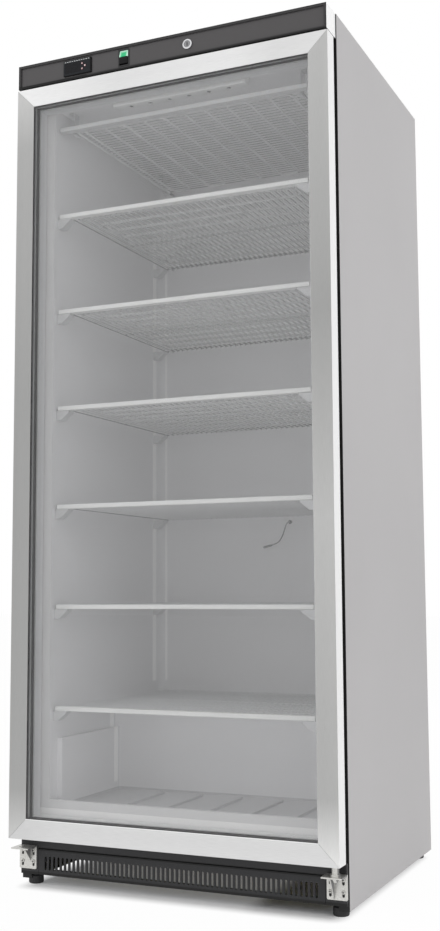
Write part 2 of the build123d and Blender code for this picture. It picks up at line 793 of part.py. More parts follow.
door_top_rail = door_profile("top", [upper_bush])
door_top_rail.part.label = "door_top_rail"
export_step(door_top_rail.part, "parts/door_top_rail.step")

with BuildPart() as door_bushes:
    for span in (lower_bush, upper_bush):
        disc(hinge_x, hinge_y, bush_radius, span)
        bore = (span[0] - 1, span[1] + 1)
        disc(hinge_x, hinge_y, hinge_pin_radius + running_gap, bore, Mode.SUBTRACT)
door_bushes.part.label = "door_bushes"
export_step(door_bushes.part, "parts/door_bushes.step")

glass_inset = face_width - glass_cover
pane_starts = [lip_wall + seat_gap]
for thickness in pane_thicknesses:
    pane_starts.append(pane_starts[-1] + thickness + pane_space)

for pane_name, start, thickness in zip(
    ("front_pane", "middle_pane", "rear_pane"), pane_starts, pane_thicknesses
):
    with BuildPart() as pane:
        pane_half = half_width - glass_inset
        pane_span = (front_y + start, front_y + start + thickness)
        pane_lift = (door_bottom + glass_inset, door_top - glass_inset)
        slab((-pane_half, pane_half), pane_span, pane_lift)
    pane.part.label = pane_name
    export_step(pane.part, f"parts/{pane_name}.step")

with BuildPart() as glass_spacers:
    for start, thickness in zip(pane_starts[:2], pane_thicknesses):
        near = start + thickness + slab_gap / 2
        deep = near + pane_space - slab_gap
        edge, inner = glass_inset, glass_inset + spacer_width
        bar_section = [(edge, near), (inner, near), (inner, deep), (edge, deep)]
        for side in frame_sides:
            add(frame_bar(side, bar_section).part)
glass_spacers.part.label = "glass_spacers"
export_step(glass_spacers.part, "parts/glass_spacers.step")

glass_back = pane_starts[2] + pane_thicknesses[2] + seat_gap
bead_out = box_width + 0.5
bead_in = face_width + 2.0
ledge_out = 12.0
ledge_front = door_thickness + seat_gap
ledge_back = ledge_front + 3.7
bead_back = door_thickness + bead_height
wall_out = seal_inset + seal_width + 1.5

bead_section = [
    (bead_out, glass_back),
    (bead_in, glass_back),
    (bead_in, bead_back),
    (wall_out, bead_back),
    (wall_out, ledge_back),
    (ledge_out, ledge_back),
    (ledge_out, ledge_front),
    (bead_out, ledge_front),
]

with BuildPart() as inner_door_frame:
    for side in frame_sides:
        add(frame_bar(side, bead_section).part)
inner_door_frame.part.label = "inner_door_frame"
export_step(inner_door_frame.part, "parts/inner_door_frame.step")

seal_foot = ledge_back + slab_gap
seal_back = door_thickness + seal_gap - seat_gap
seal_neck = 1.5  # bulb narrower than the foot on each side
seal_foot_wall = 2.7
seal_out, seal_in = seal_inset, seal_inset + seal_width
seal_section = [
    (seal_out, seal_foot),
    (seal_in, seal_foot),
    (seal_in, seal_foot + seal_foot_wall),
    (seal_in - seal_neck, seal_foot + seal_foot_wall),
    (seal_in - seal_neck, seal_back),
    (seal_out + seal_neck, seal_back),
    (seal_out + seal_neck, seal_foot + seal_foot_wall),
    (seal_out, seal_foot + seal_foot_wall),
]
seal_hollow = (seal_out + 4, seal_in - 4, seal_foot + seal_foot_wall + 1, seal_back - 4)

with BuildPart() as door_gasket:
    for side in frame_sides:
        add(frame_bar(side, seal_section, seal_hollow).part)
door_gasket.part.label = "door_gasket"
export_step(door_gasket.part, "parts/door_gasket.step")

# ================= evaporator shelves =================
mat_middle = (mat_front + mat_back) / 2
mat_depth = mat_back - mat_front
passes_front = mat_front + tube_margin - 4


def serpentine(points, bends, level):
    """A tube swept along straight runs joined by arcs, at one height."""
    route = [(x, y, level) for x, y in points]
    with BuildPart() as tube:
        with BuildLine():
            FilletPolyline(*route, radius=bends)
        start = Vector(route[1]) - Vector(route[0])
        with BuildSketch(Plane(origin=route[0], z_dir=start)):
            Circle(tube_radius)
        sweep()
    return tube.part


def wire_mat(level, along_x):
    """A flat wire mat: one plate with a gap between each two wires."""
    with BuildPart() as mat:
        with BuildSketch(Plane.XY.offset(level)):
            with Locations((0, mat_middle)):
                Rectangle(2 * shelf_half, mat_depth)
                run = 2 * shelf_half if along_x else mat_depth
                span = mat_depth if along_x else 2 * shelf_half
                gaps = round(wire_gaps * span / (2 * shelf_half))
                pitch = (span - wire) / gaps
                gap_length = (run - 3 * cross_wire) / 2
                cell_gap = gap_length + cross_wire
                if along_x:
                    with GridLocations(cell_gap, pitch, 2, gaps):
                        Rectangle(gap_length, pitch - wire, mode=Mode.SUBTRACT)
                else:
                    with GridLocations(pitch, cell_gap, gaps, 2):
                        Rectangle(pitch - wire, gap_length, mode=Mode.SUBTRACT)
        extrude(amount=mat_thickness)
    return mat.part


def shelf_route():
    """In along the left side, then to and fro across, and out at the back right."""
    left, right = tube_margin - shelf_half + 8, shelf_half - tube_margin
    feed = 8 - shelf_half
    points = [(feed, cavity_back - seat_gap), (feed, passes_front)]
    for n in range(tube_passes):
        y = passes_front + n * tube_pitch
        ends = (left, right) if n % 2 == 0 else (right, left)
        points += [(ends[0], y), (ends[1], y)] if n else [(ends[1], y)]
    return points + [(right, cavity_back - seat_gap)]


def ceiling_route():
    """In along the left side, then forward and back, and out at the back right."""
    first = -ceiling_pitch * (ceiling_passes - 1) / 2
    rear = mat_back - 8
    feed = first - ceiling_feed
    points = [(feed, cavity_back - seat_gap), (feed, passes_front)]
    for n in range(ceiling_passes):
        x = first + n * ceiling_pitch
        ends = (passes_front, rear) if n % 2 == 0 else (rear, passes_front)
        points += [(x, ends[0]), (x, ends[1])]
    points[-1] = (points[-1][0], cavity_back - seat_gap)
    return points


lower_mat = -shelf_thickness / 2
upper_mat = shelf_thickness / 2 - mat_thickness

shelf_bends = [tube_bend] * (len(shelf_route()) - 2)
for number, level in enumerate(shelf_levels, start=1):
    with BuildPart() as evaporator_shelf:
        add(wire_mat(level + lower_mat, along_x=False))
        add(serpentine(shelf_route(), shelf_bends, level))
        add(wire_mat(level + upper_mat, along_x=False))
    evaporator_shelf.part.label = f"evaporator_shelf_{number}"
    export_step(evaporator_shelf.part, f"parts/evaporator_shelf_{number}.step")

first_bend = 0.45 * ceiling_feed
ceiling_bends = [first_bend, first_bend] + [ceiling_bend] * (len(ceiling_route()) - 4)
with BuildPart() as ceiling_evaporator:
    add(serpentine(ceiling_route(), ceiling_bends, ceiling_level))
    add(wire_mat(ceiling_level + upper_mat, along_x=True))
ceiling_evaporator.part.label = "ceiling_evaporator"
export_step(ceiling_evaporator.part, "parts/ceiling_evaporator.step")

with BuildPart() as shelf_trims:
    for level in shelf_levels + [ceiling_level]:
        outside = (level - shelf_thickness / 2, level + shelf_thickness / 2)
        inside = (outside[0] + trim_wall, outside[1] - trim_wall)
        trim_span = (trim_front, trim_front + trim_depth)
        channel = (trim_front + trim_wall, trim_front + trim_depth - trim_wall)
        slab((-trim_half, trim_half), trim_span, outside)
        slab((-trim_half - 1, trim_half + 1), channel, inside, Mode.SUBTRACT)
shelf_trims.part.label = "shelf_trims"
export_step(shelf_trims.part, "parts/shelf_trims.step")

clip_width = 24.0
clip_drop = 22.0
clip_seat = 4.0  # how far the mat rests on a clip
clip_reach = cavity_half - seat_gap
clip_toe = shelf_half - clip_seat
hanger_plate = 2.0
hanger_lip = 7.0

with BuildPart() as evaporator_brackets:
    clip_places = (trim_front + 2, mat_back - clip_width - 5)
    for level in shelf_levels:
        seat = level - shelf_thickness / 2 - seat_gap
        for y in clip_places:
            for side in (-1, 1):
                with BuildSketch(facing(y)):
                    with BuildLine():
                        Polyline(
                            (side * clip_reach, seat),
                            (side * clip_toe, seat),
                            (side * clip_toe, seat - 4),
                            (side * (clip_reach - 13), seat - clip_drop),
                            (side * clip_reach, seat - clip_drop),
                            close=True,
                        )
                    make_face()
                extrude(amount=-clip_width)
    hanger_low = ceiling_level - shelf_thickness / 2 - seat_gap
    hanger_high = cavity_ceiling - seat_gap
    hanger_in = shelf_half + seat_gap
    for y in (mat_front + 4, mat_back - clip_width - 5):
        for side in (-1, 1):
            stem = sorted((side * hanger_in, side * (hanger_in + hanger_plate)))
            lip = sorted((side * (hanger_in - hanger_lip), side * (hanger_in + hanger_plate)))
            tab = sorted((side * hanger_in, side * (hanger_in + 16)))
            run = (y, y + clip_width)
            slab(stem, run, (hanger_low - hanger_plate, hanger_high))
            slab(lip, run, (hanger_low - hanger_plate, hanger_low))
            slab(tab, run, (hanger_high - hanger_plate, hanger_high))
evaporator_brackets.part.label = "evaporator_brackets"
export_step(evaporator_brackets.part, "parts/evaporator_brackets.step")

# ================= interior light =================
light_length = 342.0
light_width = 30.0
light_height = 19.0
light_setback = 5.0
lens_count = 6
lens_pitch = 50.0
lens_radius = 5.0

with BuildPart() as led_bar:
    light_y = cabinet_front + light_setback + light_width / 2
    with BuildSketch(Plane.XY.offset(cavity_ceiling - seat_gap - light_height)):
        with Locations((0, light_y)):
            RectangleRounded(light_length, light_width, radius=10.0)
    extrude(amount=light_height)
    fillet(led_bar.edges().group_by(Axis.Z)[0], radius=4.0)
    with BuildSketch(Plane.XY.offset(cavity_ceiling - seat_gap - light_height)):
        with Locations((0, light_y)):
            with GridLocations(lens_pitch, 0, lens_count, 1):
                Circle(lens_radius)
    extrude(amount=2.0, mode=Mode.SUBTRACT)
led_bar.part.label = "led_bar"
export_step(led_bar.part, "parts/led_bar.step")

# ================= temperature sensor =================
lead_radius = 1.6
grommet_depth = 4.5
lead_start = (57.0, cavity_back - grommet_depth - seat_gap, 836.0)
lead_route = [
    lead_start,
    (57.0, cavity_back - 20.0, 835.0),
    (55.5, cavity_back - 30.5, 824.0),
    (51.0, cavity_back - 33.0, 807.0),
    (43.0, cavity_back - 31.0, 791.0),
    (30.0, cavity_back - 26.0, 779.5),
    (13.0, cavity_back - 24.0, 775.5),
]
bulb_radius = 3.0
bulb_length = 24.0

with BuildPart() as sensor_grommet:
    face_span = (cavity_back - grommet_depth, cavity_back - seat_gap)
    barrel(lead_start[0], lead_start[2], 5.0, face_span)
    fillet(sensor_grommet.edges().group_by(Axis.Y)[0], radius=2.0)
sensor_grommet.part.label = "sensor_grommet"
export_step(sensor_grommet.part, "parts/sensor_grommet.step")

lead_runs = [dist(a, b) for a, b in zip(lead_route, lead_route[1:])]
lead_bends = []
for n in range(1, len(lead_route) - 1):
    before = Vector(lead_route[n]) - Vector(lead_route[n - 1])
    after = Vector(lead_route[n + 1]) - Vector(lead_route[n])
    half_turn = radians(before.get_angle(after)) / 2
    lead_bends.append(0.45 * min(lead_runs[n - 1], lead_runs[n]) / tan(half_turn))
print("sensor lead radii", [round(radius, 1) for radius in lead_bends])

with BuildPart() as sensor_lead:
    with BuildLine() as lead_path:
        FilletPolyline(*lead_route, radius=lead_bends)
    with BuildSketch(Plane(origin=lead_start, z_dir=Vector(lead_route[1]) - Vector(lead_start))):
        Circle(lead_radius)
    sweep()
lead_length = sum(edge.length for edge in lead_path.edges())
print("sensor lead length", round(lead_length, 1))
print("sensor lead volume ratio", sensor_lead.part.volume / (pi * lead_radius**2 * lead_length))
sensor_lead.part.label = "sensor_lead"
export_step(sensor_lead.part, "parts/sensor_lead.step")

bulb_way = (Vector(lead_route[-1]) - Vector(lead_route[-2])).normalized()
with BuildPart() as sensor_bulb:
    with BuildSketch(Plane(origin=lead_route[-1], z_dir=bulb_way)):
        Circle(bulb_radius)
    extrude(amount=bulb_length)
    fillet(sensor_bulb.edges(), radius=1.2)
sensor_bulb.part.label = "sensor_bulb"
export_step(sensor_bulb.part, "parts/sensor_bulb.step")

# ================= machine compartment =================
compressor_x = pan_half - 197.2
compressor_y = back_panel_y - 134.0
compressor_radius = 72.0
compressor_low = 45.0
compressor_tall = 165.0
mount_radius = 12.0
mount_spread = (160.0, 90.0)
foot_plate = 3.0
line_radius = 3.5
line_bend = 18.0

with BuildPart() as compressor_mounts:
    for x in (-0.5, 0.5):
        for y in (-0.5, 0.5):
            mount_x = compressor_x + x * mount_spread[0]
            mount_y = compressor_y + y * mount_spread[1]
            disc(mount_x, mount_y, mount_radius, (pan_top, compressor_low - foot_plate - seat_gap))
compressor_mounts.part.label = "compressor_mounts"
export_step(compressor_mounts.part, "parts/compressor_mounts.step")

with BuildPart() as compressor:
    span = (compressor_low, compressor_low + compressor_tall)
    disc(compressor_x, compressor_y, compressor_radius, span)
    fillet(compressor.edges().group_by(Axis.Z)[-1], radius=38.0)
    fillet(compressor.edges().group_by(Axis.Z)[0], radius=22.0)
    seam = compressor_low + 0.55 * compressor_tall
    disc(compressor_x, compressor_y, compressor_radius + 3, (seam, seam + 6))
    plate_x = 0.5 * mount_spread[0] + mount_radius
    plate_y = 0.5 * mount_spread[1] + mount_radius
    slab(
        (compressor_x - plate_x, compressor_x + plate_x),
        (compressor_y - plate_y, compressor_y + plate_y),
        (compressor_low - foot_plate, compressor_low + 1),
    )
    box_y = compressor_y - compressor_radius - 28
    slab((compressor_x - 28, compressor_x + 28), (box_y, compressor_y - 40), (90, 150))
compressor.part.label = "compressor"
export_step(compressor.part, "parts/compressor.step")

coil_x = (57.2 - pan_half, 317.2 - pan_half)
coil_y = (compartment_front + 14, compartment_front + 54)
coil_z = (pan_top + 18, pan_top + 238)
fin_count = 21
fin_wall = 1.0
coil_rows = 5
coil_tube = 4.0
coil_middle = (sum(coil_x) / 2, sum(coil_y) / 2, sum(coil_z) / 2)

with BuildPart() as condenser:
    fin_pitch = (coil_x[1] - coil_x[0] - fin_wall) / (fin_count - 1)
    with Locations(Location(coil_middle, (0, 90, 0))):
        with GridLocations(44.0, 20.0, coil_rows, 2):
            Cylinder(coil_tube, coil_x[1] - coil_x[0])
    for n in range(fin_count):
        x = coil_x[0] + n * fin_pitch
        slab((x, x + fin_wall), coil_y, coil_z)
    for x in (coil_x[0], coil_x[1] - 12):
        slab((x, x + 12), (coil_y[0] + 12, coil_y[1] - 12), (pan_top + seat_gap, coil_z[0]))
condenser.part.label = "condenser"
export_step(condenser.part, "parts/condenser.step")

fan_x, fan_z = coil_middle[0], coil_middle[2]
fan_radius = 78.0
shroud_y = coil_y[1] + 4
shroud_plate = 2.0
fan_y = shroud_y + 19
motor_radius = 30.0
motor_front = fan_y + 20
motor_back = motor_front + 24
strut_radius = 92.0
shaft_radius = 3.0

with BuildPart() as fan_shroud:
    with BuildSketch(facing(shroud_y)):
        with Locations((fan_x, fan_z)):
            Rectangle(coil_x[1] - coil_x[0], coil_z[1] - coil_z[0])
            Circle(fan_radius + 6, mode=Mode.SUBTRACT)
    extrude(amount=-shroud_plate)
    slab((coil_x[0], coil_x[1]), (shroud_y, shroud_y + 24), (pan_top + seat_gap, coil_z[0]))
    arm_span = (motor_back + seat_gap, motor_back + seat_gap + 4)
    for side in (-1, 1):
        strut = sorted((fan_x + side * strut_radius, fan_x + side * (strut_radius + 6)))
        slab(strut, (shroud_y, arm_span[1]), (fan_z - 6, fan_z + 6))
    slab((fan_x - strut_radius, fan_x + strut_radius), arm_span, (fan_z - 6, fan_z + 6))
    slab((coil_x[0], coil_x[0] + 3), (coil_y[1] + seat_gap, shroud_y), coil_z)
    slab((coil_x[1] - 3, coil_x[1]), (coil_y[1] + seat_gap, shroud_y), coil_z)
fan_shroud.part.label = "fan_shroud"
export_step(fan_shroud.part, "parts/fan_shroud.step")

with BuildPart() as fan_motor:
    barrel(fan_x, fan_z, motor_radius, (motor_front, motor_back))
    fillet(fan_motor.edges(), radius=3.0)
    barrel(fan_x, fan_z, shaft_radius, (fan_y - 8, motor_front + 1))
fan_motor.part.label = "fan_motor"
export_step(fan_motor.part, "parts/fan_motor.step")

blade_count = 5
hub_radius = 22.0
blade_size = (fan_radius - hub_radius + 4, 30.0, 2.0)
blade_pitch = 30.0

with BuildPart() as fan_blade:
    with Locations(Location((fan_x, fan_y, fan_z), (90, 0, 0))):
        with PolarLocations(hub_radius - 4 + blade_size[0] / 2, blade_count):
            Box(*blade_size, rotation=(blade_pitch, 0, 0))
    barrel(fan_x, fan_z, hub_radius, (fan_y - 11, fan_y + 11))
    bore = shaft_radius + running_gap
    barrel(fan_x, fan_z, bore, (fan_y - 8 - seat_gap, fan_y + 12), Mode.SUBTRACT)
fan_blade.part.label = "fan_blade"
export_step(fan_blade.part, "parts/fan_blade.step")

dryer_x, dryer_y = coil_x[1] + 90, back_panel_y - 34
dryer_radius = 10.0
dryer_span = (100.0, 210.0)

with BuildPart() as filter_dryer:
    disc(dryer_x, dryer_y, dryer_radius, dryer_span)
    fillet(filter_dryer.edges(), radius=4.0)
filter_dryer.part.label = "filter_dryer"
export_step(filter_dryer.part, "parts/filter_dryer.step")

foam_under = compartment_top - seat_gap
discharge_x = compressor_x - compressor_radius - seat_gap
suction_x = compressor_x + compressor_radius + seat_gap
port_z = 120.0
turn_x = compressor_x - 130
return_x = compressor_x + 130
line_routes = [
    [
        (discharge_x, compressor_y, port_z),
        (turn_x, compressor_y, port_z),
        (turn_x, coil_middle[1], port_z),
        (turn_x, coil_middle[1], 240),
        (coil_x[1] + seat_gap, coil_middle[1], 240),
    ],
    [
        (coil_x[1] + seat_gap, coil_middle[1], 66),
        (dryer_x, coil_middle[1], 66),
        (dryer_x, dryer_y, 66),
        (dryer_x, dryer_y, dryer_span[0] - seat_gap),
    ],
    [
        (dryer_x, dryer_y, dryer_span[1] + seat_gap),
        (dryer_x, dryer_y, 250),
        (dryer_x + 80, dryer_y, 250),
        (dryer_x + 80, dryer_y, foam_under),
    ],
    [
        (suction_x, compressor_y, port_z),
        (return_x, compressor_y, port_z),
        (return_x, dryer_y, port_z),
        (return_x, dryer_y, foam_under),
    ],
]


def refrigerant_line(route):
    """A bent copper tube through the given corners."""
    with BuildPart() as line:
        with BuildLine():
            FilletPolyline(*route, radius=line_bend)
        way = Vector(route[1]) - Vector(route[0])
        with BuildSketch(Plane(origin=route[0], z_dir=way)):
            Circle(line_radius)
        sweep()
    return line.part


with BuildPart() as refrigerant_lines:
    for route in line_routes:
        add(refrigerant_line(route))
refrigerant_lines.part.label = "refrigerant_lines"
export_step(refrigerant_lines.part, "parts/refrigerant_lines.step")

with BuildPart() as cable_gland:
    outside = back_panel_y + sheet + slab_gap
    barrel(gland_x, gland_z, gland_radius - seat_gap, (back_panel_y - 8, outside))
    barrel(gland_x, gland_z, gland_radius + 4, (outside, outside + 4))
    barrel(gland_x, gland_z, gland_radius - 2, (outside + 4, outside + 14))
    fillet(cable_gland.edges().group_by(Axis.Y)[-1], radius=2.0)
cable_gland.part.label = "cable_gland"
export_step(cable_gland.part, "parts/cable_gland.step")
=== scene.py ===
import math

import bmesh
import bpy
from mathutils import Matrix, Quaternion, Vector


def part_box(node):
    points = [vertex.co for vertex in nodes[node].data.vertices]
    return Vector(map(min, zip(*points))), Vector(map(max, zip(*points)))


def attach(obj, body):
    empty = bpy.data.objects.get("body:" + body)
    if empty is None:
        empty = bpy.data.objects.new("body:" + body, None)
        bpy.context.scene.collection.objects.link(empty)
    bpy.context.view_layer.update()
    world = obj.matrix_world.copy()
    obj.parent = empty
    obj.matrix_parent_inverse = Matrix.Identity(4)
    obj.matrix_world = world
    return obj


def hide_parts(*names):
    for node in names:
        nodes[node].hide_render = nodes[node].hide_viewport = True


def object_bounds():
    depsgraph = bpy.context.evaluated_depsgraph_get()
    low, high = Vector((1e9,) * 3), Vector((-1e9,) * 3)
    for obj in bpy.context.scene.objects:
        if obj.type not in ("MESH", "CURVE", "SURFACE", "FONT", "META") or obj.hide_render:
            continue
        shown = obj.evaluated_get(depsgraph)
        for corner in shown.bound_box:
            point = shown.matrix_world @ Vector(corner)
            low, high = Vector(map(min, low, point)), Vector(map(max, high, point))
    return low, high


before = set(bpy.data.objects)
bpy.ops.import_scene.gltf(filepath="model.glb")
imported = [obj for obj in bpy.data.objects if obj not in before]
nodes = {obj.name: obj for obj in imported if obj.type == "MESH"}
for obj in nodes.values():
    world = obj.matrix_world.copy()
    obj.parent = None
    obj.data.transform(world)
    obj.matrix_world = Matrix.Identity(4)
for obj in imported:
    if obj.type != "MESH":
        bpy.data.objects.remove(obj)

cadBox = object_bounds()
print("frame loaded:", len(nodes), "nodes")

# lengths are metres, in the same frame as the CAD: X right, Y back, Z up


# camera
cameraSetup = {
    "spot": (1.183, -2.700, 0.653),
    "turn": 24.11,  # degrees from +Y towards -X
    "rise": 5.99,
    "roll": -0.28,
    "lens": 46.9,
    "sensor": 36,
    "farthest": 60,  # what lies beyond isn't seen
}


def makeCamera():
    turn, rise, roll = (math.radians(cameraSetup[key]) for key in ("turn", "rise", "roll"))
    ahead = Vector((-math.sin(turn) * math.cos(rise), math.cos(turn) * math.cos(rise), math.sin(rise)))
    right = Vector((math.cos(turn), math.sin(turn), 0))
    up = right.cross(ahead)
    across = right * math.cos(roll) + up * math.sin(roll)
    upright = up * math.cos(roll) - right * math.sin(roll)
    camera = bpy.data.objects.new("camera", bpy.data.cameras.new("camera"))
    bpy.context.scene.collection.objects.link(camera)
    axes = Matrix((across, upright, -ahead)).transposed().to_4x4()
    camera.matrix_world = Matrix.Translation(cameraSetup["spot"]) @ axes
    camera.data.lens = cameraSetup["lens"]
    camera.data.sensor_width = cameraSetup["sensor"]
    camera.data.clip_end = cameraSetup["farthest"]
    bpy.context.scene.camera = camera


makeCamera()
print("camera placed")


# material tools
def channel(level):
    # one channel as it looks on screen, 0 to 255, for the shader
    level /= 255
    return level / 12.92 if level < 0.04045 else ((level + 0.055) / 1.055) ** 2.4


def tone(*levels):
    return tuple(channel(level) for level in levels) + (1.0,)


def grey(share):
    return (share, share, share, 1.0)


def dim(colour, share):
    return tuple(v * share for v in colour[:3]) + (1.0,)


def startMaterial(name):
    mat = bpy.data.materials.new(name)
    mat.use_nodes = True
    return mat, mat.node_tree, mat.node_tree.nodes["Principled BSDF"]


def plug(tree, value, socket):
    # the value is a number, a colour or another node's output
    if isinstance(value, bpy.types.NodeSocket):
        tree.links.new(value, socket)
    else:
        socket.default_value = value


def flecks(tree, size, detail, stretch=(1, 1, 1)):
    # noise over the object's own space; size is one fleck's width
    where = tree.nodes.new("ShaderNodeTexCoord")
    spread = tree.nodes.new("ShaderNodeMapping")
    spread.inputs["Scale"].default_value = stretch
    noise = tree.nodes.new("ShaderNodeTexNoise")
    noise.inputs["Scale"].default_value = 1 / size
    noise.inputs["Detail"].default_value = detail
    tree.links.new(where.outputs["Object"], spread.inputs["Vector"])
    tree.links.new(spread.outputs["Vector"], noise.inputs["Vector"])
    return noise.outputs["Fac"]


def colourBetween(tree, field, first, second, low=0.35, high=0.65):
    ramp = tree.nodes.new("ShaderNodeValToRGB")
    ends = ramp.color_ramp.elements
    ends[0].position, ends[0].color = low, first
    ends[1].position, ends[1].color = high, second
    tree.links.new(field, ramp.inputs["Fac"])
    return ramp.outputs["Color"]


def valueBetween(tree, field, first, second, low=0.35, high=0.65):
    # the first value up to low, the second from high on
    reach = tree.nodes.new("ShaderNodeMapRange")
    values = {"Value": field, "From Min": low, "From Max": high, "To Min": first, "To Max": second}
    for key, value in values.items():
        plug(tree, value, reach.inputs[key])
    return reach.outputs["Result"]


def calculate(tree, kind, *values):
    node = tree.nodes.new("ShaderNodeMath")
    node.operation = kind
    for socket, value in zip(node.inputs, values):
        plug(tree, value, socket)
    return node.outputs["Value"]


def mix(tree, share, first, second, kind="RGBA", blend="MIX"):
    node = tree.nodes.new("ShaderNodeMix")
    node.data_type, node.blend_type = kind, blend
    for key, value in (("Factor", share), ("A", first), ("B", second)):
        plug(tree, value, node.inputs[key])
    return node.outputs["Result"]


def multiply(tree, first, second):
    return mix(tree, 1.0, first, second, blend="MULTIPLY")


def mixShaders(tree, share, first, second):
    # the material's surface: the first shader, and the second where the share is 1
    both = tree.nodes.new("ShaderNodeMixShader")
    for value, socket in zip((share, first.outputs[0], second.outputs[0]), both.inputs):
        tree.links.new(value, socket)
    tree.links.new(both.outputs["Shader"], tree.nodes["Material Output"].inputs["Surface"])


def addBump(tree, shader, field, depth):
    bump = tree.nodes.new("ShaderNodeBump")
    bump.inputs["Distance"].default_value = depth
    tree.links.new(field, bump.inputs["Height"])
    tree.links.new(bump.outputs["Normal"], shader.inputs["Normal"])


def placeAlong(tree, axis):
    # the object's own coordinate; bars round the letter leave out its sign,
    # and an n before it asks for the face's direction
    if axis.startswith("n"):
        where = tree.nodes.new("ShaderNodeNewGeometry").outputs["True Normal"]
    else:
        where = tree.nodes.new("ShaderNodeTexCoord").outputs["Object"]
    split = tree.nodes.new("ShaderNodeSeparateXYZ")
    tree.links.new(where, split.inputs["Vector"])
    place = split.outputs[axis.strip("|n")]
    return calculate(tree, "ABSOLUTE", place) if axis.startswith("|") else place


def shadeAlong(tree, axis, stops, start, reach):
    # a grey that changes between stops of (place, share)
    ramp = tree.nodes.new("ShaderNodeValToRGB")
    marks = ramp.color_ramp.elements
    for mark, (at, share) in ((marks[0], stops[0]), (marks[1], stops[-1])):
        mark.position, mark.color = (at - start) / reach, grey(share)
    for at, share in stops[1:-1]:
        marks.new((at - start) / reach).color = grey(share)
    tree.links.new(valueBetween(tree, placeAlong(tree, axis), 0, 1, start, start + reach), ramp.inputs["Fac"])
    return ramp.outputs["Color"]


def allOf(tree, masks):
    # 1 where every mask is 1
    whole = masks[0]
    for mask in masks[1:]:
        whole = calculate(tree, "MULTIPLY", whole, mask)
    return whole


def within(tree, axis, low=None, high=None):
    # 1 where the place along the axis lies between two limits, else 0
    place = placeAlong(tree, axis)
    tests = (("GREATER_THAN", low), ("LESS_THAN", high))
    return allOf(tree, [calculate(tree, kind, place, limit) for kind, limit in tests if limit is not None])


def repaint(mat, mask, colour, rough=0.5, glow=0.0):
    # gives the masked part of a finish another colour, its bump kept
    tree = mat.node_tree
    shader = tree.nodes["Principled BSDF"]
    changes = {"Base Color": colour, "Roughness": rough}
    metal = shader.inputs["Metallic"]
    if metal.is_linked or metal.default_value:
        changes["Metallic"] = 0.0
    if glow:
        shader.inputs["Emission Color"].default_value = (1, 1, 1, 1)
        changes["Emission Strength"] = glow
    for key, value in changes.items():
        target = shader.inputs[key]
        before = target.links[0].from_socket if target.is_linked else target.default_value
        kind = "RGBA" if key == "Base Color" else "FLOAT"
        tree.links.new(mix(tree, mask, before, value, kind), target)


def surface(name, colour, rough, metal=0.0, fleck=0.0008, shift=0.06, cloud=0.12, cloudShift=0.04,
            roughShift=0.08, depth=0.00001, coat=0.0, specular=0.5):
    # a moulded, painted or metal finish: fine grain over faint cloudiness
    mat, tree, shader = startMaterial(name)
    grain = flecks(tree, fleck, 5.0)
    clouds = flecks(tree, cloud, 2.0)
    fine = colourBetween(tree, grain, dim(colour, 1 - shift), dim(colour, 1 + shift * 0.6))
    broad = colourBetween(tree, clouds, grey(1 - cloudShift), grey(1))
    tree.links.new(multiply(tree, fine, broad), shader.inputs["Base Color"])
    roughness = valueBetween(tree, grain, max(rough - roughShift, 0.03), min(rough + roughShift, 1))
    tree.links.new(roughness, shader.inputs["Roughness"])
    shader.inputs["Metallic"].default_value = metal
    shader.inputs["Coat Weight"].default_value = coat
    shader.inputs["Specular IOR Level"].default_value = specular
    addBump(tree, shader, grain, depth)
    return mat


